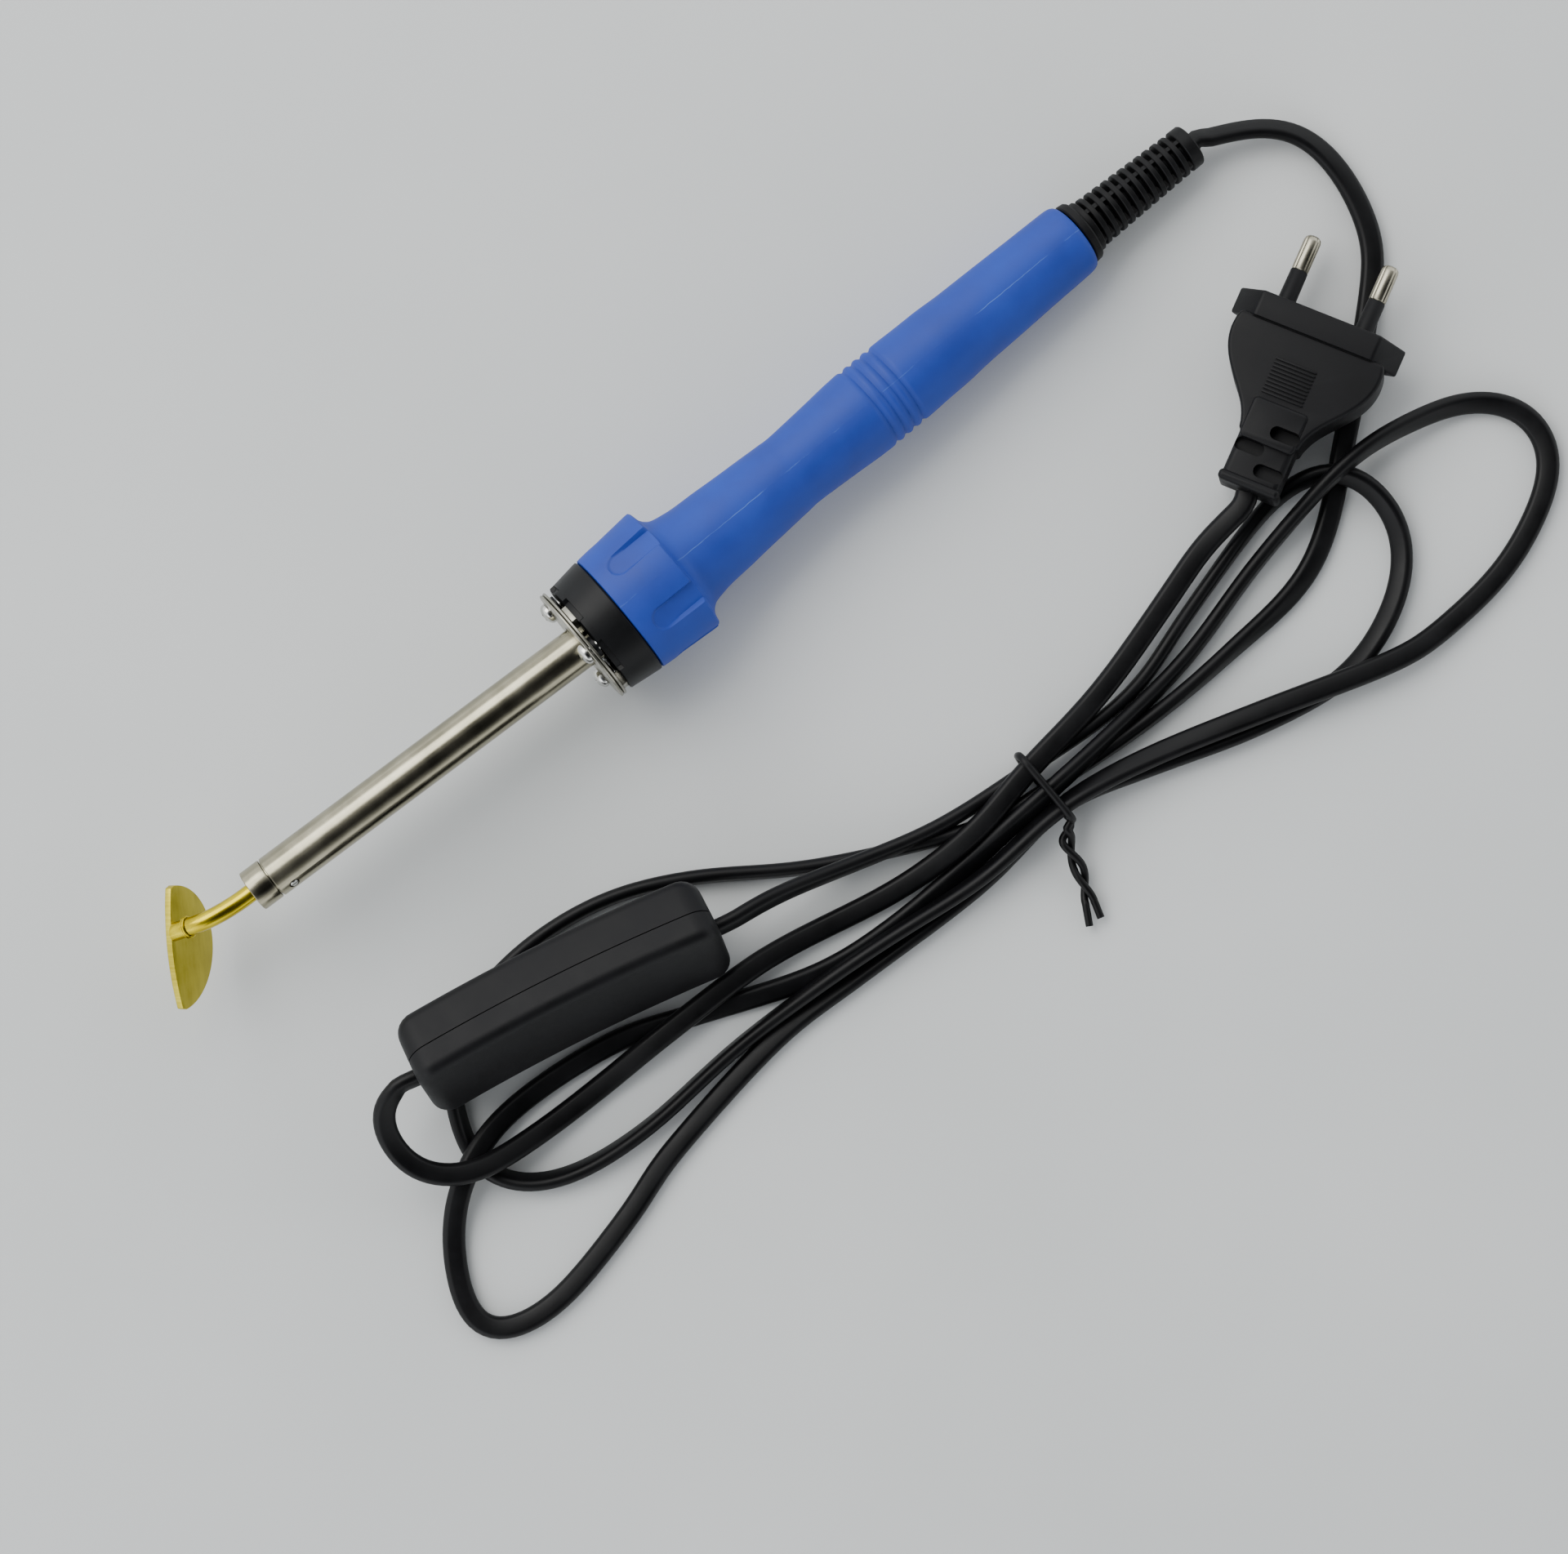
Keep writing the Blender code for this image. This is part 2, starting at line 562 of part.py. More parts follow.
def make_switch(switch):
    top_z = SWITCH_H / 2
    room_size = [side - 2 * SWITCH_WALL for side in (SWITCH_LEN, SWITCH_W, SWITCH_H)]
    room = block("switch_room", room_size,
                 BLACK, switch, bevel=0.0012)
    cutter(room)
    top = switch_shell("switch_top_shell", switch, SWITCH_SPLIT + 0.00015, top_z + 0.002)
    base = switch_shell("switch_bottom_shell", switch, -top_z - 0.002, SWITCH_SPLIT - 0.00015)
    boolean(top, room)
    boolean(base, room)

    half_w = ROCKER_W / 2
    cheek_x = 0.0060
    for tag, side in (("a", 1), ("b", -1)):
        cheek = block("cheek_" + tag, (cheek_x, 0.0020, 0.0070), BLACK, switch,
                      (0, side * (half_w + 0.0004 + 0.0010), top_z - 0.0045))
        boolean(top, cutter(cheek), "UNION")
    opening_size = (2 * ROCKER_R + 0.0008, ROCKER_W + 0.0008, 0.008)
    opening = block("rocker_opening", opening_size, BLACK, switch, (0, 0, top_z))
    boolean(top, cutter(opening))
    drill = solid_profile(-0.0080, 0.0080, 0.0013)
    bore = lathe("pin_bore", drill, BLACK, switch, (0, 0, ROCKER_AXIS_Z), steps=16,
                 turn=(math.pi / 2, 0, 0))
    boolean(top, cutter(bore))

    hinge = empty("rocker_axis", (0, 0, ROCKER_AXIS_Z), (0, ROCKER_TILT, 0), switch)
    crown = 0.0049
    end = math.degrees(math.asin(crown / ROCKER_R))
    profile = arc((0, 0), ROCKER_R, end, -12, 6)
    profile += [(0.0080, -0.0034), (-0.0080, -0.0034)]
    profile += arc((0, 0), ROCKER_R, 192, 180 - end, 6)
    rocker = flat_outline("rocker", profile, ROCKER_W, BLACK, hinge, rotation=(math.pi / 2, 0, 0))
    rocker = as_mesh(rocker)
    matrix = rocker.matrix_world.copy()
    rocker.parent = hinge
    place(rocker, matrix)
    boolean(rocker, bore)
    lathe("rocker_pin", solid_profile(-0.0077, 0.0077, 0.0010), STEEL, switch, (0, 0, ROCKER_AXIS_Z), steps=16,
          turn=(math.pi / 2, 0, 0))

    floor = -top_z + SWITCH_WALL
    for tag, side in (("left", 1), ("right", -1)):
        block("switch_contact_" + tag, (0.0080, 0.0050, 0.0008), BRASS, switch,
              (side * 0.0150, 0, floor + GAP + 0.0004))
        block("switch_cord_anchor_" + tag, (0.0050, 0.0120, 0.0060), BLACK, switch,
              (side * 0.0290, 0, floor + GAP + 0.0030), bevel=0.0004)
    block("switch_bridge", (0.0180, 0.0040, 0.0006), BRASS, switch, (0, 0, floor + 0.0022))


# ---------------------------------------------------------------- plug
def pear_outline():
    """Half widths along the plug's body, head to neck, in millimetres."""
    side = [(0.0, 17.0), (-3.0, 17.7), (-7.0, 17.4), (-11.0, 15.6), (-15.0, 12.4), (-19.0, 9.2), (-24.2, 7.1)]
    start = -PLUG_HEAD_LEN * 500
    upper = [((start + x + 0.5) / 1000, w / 1000) for x, w in side]
    return [(x, -w) for x, w in reversed(upper)] + upper


def make_plug(plug):
    half = PLUG_HEAD_W / 2
    flat = 0.0140
    z = PLUG_THICK / 2
    hexagon = [(z, flat), (0, half), (-z, flat), (-z, -flat), (0, -half), (z, -flat)]
    head = flat_outline("plug_body", hexagon, PLUG_HEAD_LEN, BLACK, plug, rotation=(0, math.pi / 2, 0))
    head = as_mesh(head)
    body = as_mesh(flat_outline("plug_pear", pear_outline(), PLUG_THICK - 0.0012, BLACK, plug))
    rounding = body.modifiers.new("rounded", "BEVEL")
    rounding.width = 0.0030
    rounding.segments = 3
    rounding.limit_method = "ANGLE"
    rounding.angle_limit = math.radians(50)
    boolean(head, cutter(body), "UNION")
    relief_x = -PLUG_HEAD_LEN / 2 - PLUG_BODY_LEN
    relief = block("plug_relief", (RELIEF_LEN + 0.002, 0.0128, 0.0080), BLACK, plug,
                   (relief_x - RELIEF_LEN / 2 + 0.001, 0, 0), bevel=0.0020)
    boolean(head, cutter(relief), "UNION")

    for tag, side in (("left", 1), ("right", -1)):
        y = side * PIN_PITCH / 2
        face = PLUG_HEAD_LEN / 2
        socket = lathe("pin_socket_" + tag, solid_profile(face - 0.0040, face + 0.001, PIN_R + GAP), BLACK, plug,
                       (0, y, 0), steps=20)
        boolean(head, cutter(socket))
        root = face - 0.0040 + GAP
        end = face + PIN_SLEEVE + PIN_METAL
        shoulder = face + PIN_SLEEVE
        profile = [
            (end, 0.0),
            (end, PIN_R * 0.55),
            (end - 0.0007, PIN_R),
            (shoulder + GAP, PIN_R),
            (shoulder + GAP, PIN_R - 0.0007),
            (root, PIN_R - 0.0007),
            (root, 0.0),
        ]
        lathe("plug_pin_" + tag, profile, STEEL, plug, (0, y, 0), steps=24)
        sleeve = tube_profile(face + GAP, shoulder, PIN_R, PIN_R - 0.0004)
        lathe("pin_sleeve_" + tag, sleeve, BLACK, plug, (0, y, 0),
              steps=24, ring=True)


# ---------------------------------------------------------------- cord and tie
# Centre line of the cord in millimetres, leg by leg, as the bundle lies on the surface.
FROM_BOOT = [(153, -4, 5.6), (158, -6, 4.6), (162, -9, 3.6), (168, -19, 2.2), (170, -30, 1.9), (163, -49, 1.9),
             (134, -74, 1.9), (109, -92, 1.9), (82, -95, 1.9), (57, -95, 1.9)]
PASS_1 = [(30, -92, 1.9), (11, -88, 1.9), (-21, -72, 1.9), (-44, -56, 1.9), (-63, -47, 1.9), (-84, -44, 1.9),
          (-104, -47, 1.9)]
LEFT_LOOP_1 = [(-113, -53, 1.9), (-122, -70, 1.9), (-120, -82, 1.9), (-108, -90, 1.9), (-88, -93, 1.9)]
PASS_2 = [(-62, -92, 2.0), (-38, -93, 5.2), (-18, -95, 5.7), (6, -98, 5.8), (30, -97, 5.8), (51, -101, 5.8),
          (79, -110, 5.8), (108, -120, 5.0), (121, -122, 3.0)]
RIGHT_LOOP_1 = [(144, -120, 1.9), (164, -110, 1.9), (168, -97, 1.9), (159, -86, 2.2)]
PASS_3 = [(140, -80, 8.0), (129, -79, 9.9), (118, -80, 7.6), (97, -84, 2.6), (72, -90, 2.2), (46, -92, 5.6),
          (21, -93, 5.5), (4, -94, 1.9), (-17, -94, 1.9), (-37, -91, 1.9), (-64, -80, 1.9), (-82, -73, 1.9)]
LEFT_LOOP_2 = [(-109, -70, 2.6), (-125, -74, 5.9), (-138, -84, 1.9), (-146, -99, 1.9), (-143, -107, 1.9),
               (-128, -110, 1.9)]
PASS_4 = [(-102, -105, 1.9), (-89, -101, 1.9), (-53, -96, 1.9), (-30, -97, 1.9), (5, -99, 1.9), (30, -97, 1.9),
          (50, -103, 1.9), (76, -112, 1.9), (100, -116, 1.9)]
RIGHT_LOOP_2 = [(120, -109, 1.9), (130, -96, 2.2), (127, -80, 5.9), (112, -75, 2.4)]
PASS_5 = [(81, -82, 1.9), (58, -88, 1.9), (30, -86, 1.9), (6, -83, 5.2), (-14, -77, 6.3), (-25, -73.2, 9.6),
          (-34, -70.5, 13.6)]
FROM_SWITCH = [(-128, -50.5, 20.3), (-132.5, -57, 15.5), (-132.5, -67, 11.6), (-124, -75, 9.9)]
PASS_6 = [(-108, -78, 4.6), (-89, -79, 2.4), (-75, -79, 5.2), (-49, -80, 5.2), (-36, -82, 3.0), (-10, -88, 2.4),
          (11, -89, 5.8), (29, -86, 5.8), (54, -83, 5.6), (81, -76, 5.2), (92, -72.8, 6.6)]


def tie_lift(point):
    """The tie runs under the bundle, so every strand near it lies a little higher."""
    reach = min(1.0, abs(point.x - TIE_X) / 0.030)
    return point + Vector((0, 0, TIE_LIFT * (1 - reach * reach) ** 2))


def route(legs, count, before=(), after=()):
    knots = list(before)
    for leg in legs:
        knots += [Vector(point) / 1000 for point in leg]
    knots += list(after)
    line = spaced(smooth_curve(knots, 12), count)
    lowest = CORD_R + 0.0001
    return [tie_lift(Vector((p.x, p.y, max(p.z, lowest)))) for p in line]


def along(matrix, x, reach):
    """Two points straight out of an end face that looks along a frame's X axis."""
    step = GAP if x > 0 else -GAP
    far = reach if x > 0 else -reach
    return [matrix @ Vector((x + step, 0, 0)), matrix @ Vector((x + far, 0, 0))]


def make_cords(boot, switch, plug):
    bpy.context.view_layer.update()
    split = Matrix.Translation((0, 0, SWITCH_SPLIT))
    boot_exit = along(boot.matrix_world, BOOT_LEN + GAP, 0.002)
    half = SWITCH_LEN / 2
    right_exit = along(switch.matrix_world @ split, -half, 0.005)
    left_exit = along(switch.matrix_world @ split, half, 0.005)
    plug_exit = along(plug.matrix_world, -PLUG_HEAD_LEN / 2 - PLUG_BODY_LEN - RELIEF_LEN, 0.004)
    tool_legs = [FROM_BOOT, PASS_1, LEFT_LOOP_1, PASS_2, RIGHT_LOOP_1,
                 PASS_3, LEFT_LOOP_2, PASS_4, RIGHT_LOOP_2, PASS_5]
    tool_line = route(tool_legs, 88, boot_exit, right_exit[::-1])
    wire("cord_tool_side", tool_line, CORD_R, RUBBER)
    plug_line = route([FROM_SWITCH, PASS_6], 32, left_exit, plug_exit[::-1])
    wire("cord_plug_side", plug_line, CORD_R, RUBBER)


def make_tie():
    """A coated wire once round the bundle, its two ends twisted together and cut off."""
    low = TIE_WIRE_R + 0.0001
    high = 0.0111
    y0 = -0.1008
    y1 = -0.0822
    corner = 0.0030
    loop = arc((y1 - corner, low + corner), corner, -90, 0, 6)
    loop += arc((y1 - corner, high - corner), corner, 0, 90, 6)
    loop += arc((y0 + corner, high - corner), corner, 90, 180, 6)
    loop += arc((y0 + corner, low + corner), corner, 180, 270, 6)
    wire("tie_loop", [Vector((TIE_X, y, z)) for y, z in loop], TIE_WIRE_R, RUBBER, closed=True)
    knot = Vector((TIE_X - 0.0010, y0 - 0.0028, 0.0060))
    middle = Vector((0.0245, -0.1125, 0.0038))
    tips = (Vector((0.0210, -0.1224, 0.0023)), Vector((0.0178, -0.1222, 0.0023)))
    centre = smooth_curve([knot, middle, (tips[0] + tips[1]) / 2], 9)
    for number, phase in ((1, 0.0), (2, math.pi)):
        points = []
        twisted = centre[:-4]
        for i, point in enumerate(twisted):
            angle = phase + math.radians(24 * (len(twisted) - 1 - i))
            sideways = Vector((math.cos(angle) * 0.92, -math.cos(angle) * 0.38, math.sin(angle) * 0.9))
            points.append(point + sideways * 0.00118)
        points.append(tips[number - 1])
        wire(f"tie_tail_{number}", [Vector((p.x, p.y, max(p.z, low))) for p in points], TIE_WIRE_R, RUBBER)


# ---------------------------------------------------------------- assembly
clear_scene()
tool_axis = empty("tool_axis", FLANGE_AT, (0, NOSE_UP, 0))
barrel_axis = empty("barrel_axis", (0, 0, 0), (0, 0, BARREL_SKEW), tool_axis)
make_tip(barrel_axis)
make_bush(barrel_axis)
make_barrel(barrel_axis)
screw_holes = make_flange(tool_axis)
make_collar(tool_axis, screw_holes)
make_handle(tool_axis)
make_wiring(tool_axis)
boot_axis = make_boot(tool_axis)

switch_axis = empty("switch_axis", (0, 0, 0))
switch_up = SWITCH_FACE.cross(SWITCH_LONG)
place(switch_axis, axes_matrix(SWITCH_AT, SWITCH_LONG, switch_up))
make_switch(switch_axis)

plug_axis = empty("plug_axis", (0, 0, 0))
place(plug_axis, axes_matrix(PLUG_AT, PLUG_AHEAD, PLUG_LEFT))
make_plug(plug_axis)

make_cords(boot_axis, switch_axis, plug_axis)
make_tie()
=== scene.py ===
# %% [markdown]
# # An electric edge creaser
#
# This tool heats a small brass blade that presses a line along the edge of a leather strap. We dress its
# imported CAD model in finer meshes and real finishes, piece by piece, without moving anything that the
# joints depend on.

# %% Load the frame
import math

import bmesh
import bpy
import numpy as np
from mathutils import Matrix, Vector


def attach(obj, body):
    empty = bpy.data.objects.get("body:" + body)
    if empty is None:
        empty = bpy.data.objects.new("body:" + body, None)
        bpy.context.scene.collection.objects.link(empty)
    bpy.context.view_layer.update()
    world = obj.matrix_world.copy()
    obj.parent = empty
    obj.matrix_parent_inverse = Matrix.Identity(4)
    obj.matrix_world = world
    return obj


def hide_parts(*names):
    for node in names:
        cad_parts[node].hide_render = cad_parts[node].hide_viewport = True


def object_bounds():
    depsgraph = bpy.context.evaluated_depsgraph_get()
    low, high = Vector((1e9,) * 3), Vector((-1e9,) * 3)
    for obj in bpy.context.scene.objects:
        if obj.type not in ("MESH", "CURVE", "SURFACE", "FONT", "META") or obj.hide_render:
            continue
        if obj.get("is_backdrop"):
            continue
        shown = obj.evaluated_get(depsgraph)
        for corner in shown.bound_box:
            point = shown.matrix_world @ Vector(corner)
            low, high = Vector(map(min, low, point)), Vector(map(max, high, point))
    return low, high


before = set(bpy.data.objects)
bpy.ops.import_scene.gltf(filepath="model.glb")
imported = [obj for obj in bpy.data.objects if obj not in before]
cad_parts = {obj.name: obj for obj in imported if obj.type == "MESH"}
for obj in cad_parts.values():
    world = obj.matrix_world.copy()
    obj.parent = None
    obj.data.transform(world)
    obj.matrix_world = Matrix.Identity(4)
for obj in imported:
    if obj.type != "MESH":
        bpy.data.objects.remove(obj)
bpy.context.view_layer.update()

# %% [markdown]
# ## Where things are
#
# Each group of pieces has its own small frame, with X along the group. A piece is drawn in the frame of its
# group, where its numbers are simple, and placed by that frame's matrix. Sizes are in millimetres while we
# draw.

# %% The frames of the tool, the switch and the plug
MM = 0.001
TOOL_TILT = 3.62
BARREL_TURN = -3.0
BOOT_BEND = -1.2
BOOT_AT = 0.1443
ROCKER_TURN = -11.0
ROCKER_HEIGHT = 0.0052
SWITCH_HALF = 36.75


def axes_matrix(origin, x_axis, y_axis):
    x_unit = x_axis.normalized()
    z_unit = x_unit.cross(y_axis).normalized()
    turn = Matrix((x_unit, z_unit.cross(x_unit), z_unit)).transposed().to_4x4()
    return Matrix.Translation(origin) @ turn


TOOL = Matrix.Translation((-0.0294, -0.0010, 0.01782)) @ Matrix.Rotation(math.radians(TOOL_TILT), 4, "Y")
BARREL = TOOL @ Matrix.Rotation(math.radians(BARREL_TURN), 4, "Z")
BOOT = TOOL @ Matrix.Translation((BOOT_AT, 0, 0)) @ Matrix.Rotation(math.radians(BOOT_BEND), 4, "Z")
SWITCH_LONG = Vector((-0.969, 0.2353, 0.0767)).normalized()
SWITCH_FACE = Vector((0.2098, 0.875, -0.4352)).normalized()
SWITCH = axes_matrix(Vector((-0.0818, -0.0583, 0.0175)), SWITCH_LONG, SWITCH_FACE.cross(SWITCH_LONG))
PLUG_LONG = Vector((0.897, 0.442, 0.0))
PLUG = axes_matrix(Vector((0.1420, -0.0525, 0.0098)), PLUG_LONG, Vector((-0.4336, 0.880, -0.194)))
ROCKER_PIVOT = SWITCH @ Matrix.Translation((0, 0, ROCKER_HEIGHT))
ROCKER = ROCKER_PIVOT @ Matrix.Rotation(math.radians(ROCKER_TURN), 4, "Y")
print("tool axis tilt, degrees:", round(math.degrees(math.asin(-TOOL.col[0][2])), 2))

# %% [markdown]
# ## The camera
#
# The tool is looked at from straight above. The camera stands 740 mm over the table, turned so that the
# tool runs up to the right.

# %% Camera
VIEW_TURN = math.radians(39.98)
CAMERA_PLACE = (-0.01346, -0.05198, 0.740)
camera_data = bpy.data.cameras.new("camera")
camera_data.sensor_width = 36.0
camera_data.lens = 74.925
camera = bpy.data.objects.new("camera", camera_data)
camera.matrix_world = Matrix.Translation(CAMERA_PLACE) @ Matrix.Rotation(-VIEW_TURN, 4, "Z")
bpy.context.scene.collection.objects.link(camera)
bpy.context.scene.camera = camera

# %% [markdown]
# ## Mesh helpers
#
# Nearly every part of this tool was turned, drawn through a die or cut from sheet. So three helpers make
# most of it: one turns a profile about X, one sweeps a section along a line, and one cuts a slab from an
# outline.


# %% Helpers that make meshes
def new_piece(name, verts, faces, matrix, sharp=35):
    mesh = bpy.data.meshes.new(name)
    mesh.from_pydata(verts, [], faces)
    bm = bmesh.new()
    bm.from_mesh(mesh)
    bmesh.ops.recalc_face_normals(bm, faces=bm.faces)
    bm.to_mesh(mesh)
    bm.free()
    mesh.shade_smooth()
    mesh.set_sharp_from_angle(angle=math.radians(sharp))
    obj = bpy.data.objects.new(name, mesh)
    bpy.context.scene.collection.objects.link(obj)
    obj.matrix_world = matrix
    return obj


def stitched(rows, closed):
    """Faces between rows of vertex numbers; a row of one vertex is a pole."""
    faces = []
    pairs = list(zip(rows, rows[1:])) + ([(rows[-1], rows[0])] if closed else [])
    for low, high in pairs:
        count = max(len(low), len(high))
        for k in range(count):
            n = (k + 1) % count
            if len(low) == 1:
                faces.append((low[0], high[n], high[k]))
            elif len(high) == 1:
                faces.append((low[k], low[n], high[0]))
            else:
                faces.append((low[k], low[n], high[n], high[k]))
    return faces


def turned(name, profile, matrix, segments=96, closed=False, swell=None, sharp=35):
    """Turn (x, radius) points in millimetres about X. swell(x, angle, radius) may change a radius."""
    verts, rows = [], []
    for x, radius in profile:
        count = 1 if radius == 0 else segments
        row = []
        for k in range(count):
            angle = 2 * math.pi * k / segments
            r = swell(x, angle, radius) if swell and radius else radius
            row.append(len(verts))
            verts.append((x * MM, r * math.cos(angle) * MM, r * math.sin(angle) * MM))
        rows.append(row)
    return new_piece(name, verts, stitched(rows, closed), matrix, sharp)


def swept(name, line, sides, section, matrix=Matrix.Identity(4), closed=False, sharp=50):
    """Sweep a closed section of (side, up) points along a line. sides has the side direction at each point."""
    verts, rows = [], []
    last = len(line) - 1
    for i, point in enumerate(line):
        after = line[(i + 1) % len(line) if closed else min(i + 1, last)]
        before = line[i - 1 if closed else max(i - 1, 0)]
        ahead = after - before
        up = ahead.cross(sides[i]).normalized()
        side = up.cross(ahead).normalized()
        row = []
        for a, b in section:
            row.append(len(verts))
            verts.append(point + side * a * MM + up * b * MM)
        rows.append(row)
    faces = stitched(rows, closed)
    if not closed:
        faces += [tuple(reversed(rows[0])), tuple(rows[-1])]
    return new_piece(name, verts, faces, matrix, sharp)


def slab(name, outline, low, high, matrix, bevel=0.0, segments=3, sharp=35):
    """Cut from sheet: an outline in X and Y, between two heights, edges rounded."""
    count = len(outline)
    verts = [(x * MM, y * MM, z * MM) for z in (low, high) for x, y in outline]
    faces = [tuple(range(count - 1, -1, -1)), tuple(range(count, 2 * count))]
    faces += [(k, (k + 1) % count, (k + 1) % count + count, k + count) for k in range(count)]
    obj = new_piece(name, verts, faces, matrix, sharp)
    if bevel:
        mod = obj.modifiers.new("rounded", "BEVEL")
        mod.width = bevel * MM
        mod.segments = segments
        mod.limit_method = "ANGLE"
        mod.angle_limit = math.radians(40)
        settle(obj, sharp)
    return obj


def settle(obj, sharp=35):
    """Apply the modifiers to the mesh."""
    bpy.context.view_layer.update()
    ready = obj.evaluated_get(bpy.context.evaluated_depsgraph_get())
    mesh = bpy.data.meshes.new_from_object(ready)
    obj.modifiers.clear()
    obj.data = mesh
    mesh.shade_smooth()
    mesh.set_sharp_from_angle(angle=math.radians(sharp))


def cut(obj, *tools, operation="DIFFERENCE", sharp=35):
    """Cut tools out of a piece, or join them to it, and remove the tools."""
    for tool in tools:
        mod = obj.modifiers.new(tool.name, "BOOLEAN")
        mod.object = tool
        mod.operation = operation
        mod.solver = "EXACT"
    settle(obj, sharp)
    for tool in tools:
        bpy.data.objects.remove(tool, do_unlink=True)


def smooth_curve(points, per_span):
    """Points on a Catmull-Rom curve through the given ones."""
    knots = [2 * points[0] - points[1], *points, 2 * points[-1] - points[-2]]
    curve = []
    for a, b, c, d in zip(knots, knots[1:], knots[2:], knots[3:]):
        square = 2 * a - 5 * b + 4 * c - d
        cube = 3 * b - a - 3 * c + d
        for i in range(per_span):
            t = i / per_span
            curve.append((2 * b + (c - a) * t + square * t * t + cube * t**3) / 2)
    curve.append(points[-1])
    return curve


def even(points, step):
    """The same line, with points a step apart."""
    line = np.array([tuple(p) for p in points])
    reach = np.concatenate([[0], np.cumsum(np.linalg.norm(np.diff(line, axis=0), axis=1))])
    where = np.linspace(0, reach[-1], max(2, int(round(reach[-1] / step)) + 1))
    columns = [np.interp(where, reach, line[:, k]) for k in range(line.shape[1])]
    return [Vector(p) for p in np.stack(columns, axis=1)]


def line_length(line):
    return sum((b - a).length for a, b in zip(line, line[1:]))


def circle(radius, count):
    turn = [2 * math.pi * k / count for k in range(count)]
    return [(radius * math.cos(a), radius * math.sin(a)) for a in turn]


def arc(centre, radius, start, end, count):
    turn = [math.radians(start + (end - start) * k / (count - 1)) for k in range(count)]
    return [(centre[0] + radius * math.cos(a), centre[1] + radius * math.sin(a)) for a in turn]


def finished(obj, finish, body="creaser", stands_for=()):
    """Give a piece its finish and its body, and hide the CAD nodes it stands for."""
    obj.data.materials.clear()
    obj.data.materials.append(finish)
    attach(obj, body)
    if stands_for:
        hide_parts(*stands_for)
    return obj


# %% [markdown]
# ## Finishes
#
# Each finish starts from the real material and how its surface was made. Colours are written as sRGB hex
# values and turned to linear light by one function. One helper adds a node with its settings and links.


# %% Helpers that make materials
def linear(hex_colour):
    values = [int(hex_colour[i : i + 2], 16) / 255 for i in (0, 2, 4)]
    return tuple(v / 12.92 if v <= 0.04045 else ((v + 0.055) / 1.055) ** 2.4 for v in values) + (1.0,)


def add_node(tree, kind, inputs=None, **settings):
    """Add a node. inputs maps a socket's name or number to a value or to another node's output."""
    made = tree.nodes.new(kind)
    for key, value in settings.items():
        setattr(made, key, value)
    for socket, value in (inputs or {}).items():
        if isinstance(value, bpy.types.NodeSocket):
            tree.links.new(value, made.inputs[socket])
        else:
            made.inputs[socket].default_value = value
    return made


def start_finish(name, **sockets):
    """A material with constant values on the shader's own sockets."""
    mat = bpy.data.materials.new(name)
    mat.use_nodes = True
    shader = mat.node_tree.nodes["Principled BSDF"]
    for key, value in sockets.items():
        shader.inputs[key.replace("_", " ")].default_value = value
    return mat, mat.node_tree, shader


def ramp(tree, factor, stops):
    """A colour ramp through (position, hex colour) stops."""
    made = add_node(tree, "ShaderNodeValToRGB", {"Fac": factor})
    while len(made.color_ramp.elements) < len(stops):
        made.color_ramp.elements.new(0.5)
    for element, (position, colour) in zip(made.color_ramp.elements, stops):
        element.position = position
        element.color = linear(colour)
    return made.outputs["Color"]


def band(tree, value, low, high, to_low, to_high):
    """Map a value from one range to another, held at the ends."""
    made = add_node(tree, "ShaderNodeMapRange", {0: value, 1: low, 2: high, 3: to_low, 4: to_high})
    return made.outputs[0]


def bumped(tree, shader, height, distance, strength=1.0):
    bump = add_node(tree, "ShaderNodeBump", {"Height": height, "Strength": strength, "Distance": distance})
    tree.links.new(bump.outputs["Normal"], shader.inputs["Normal"])


def local(tree):
    return add_node(tree, "ShaderNodeTexCoord").outputs["Object"]


# %% [markdown]
# ### Blue polypropylene, injection moulded
#
# The handle came out of a finely sparked mould. It is matt, with a grain of about 0.3 mm, faint paler
# scuffs, and a pale line where the two halves of the mould met along the top.


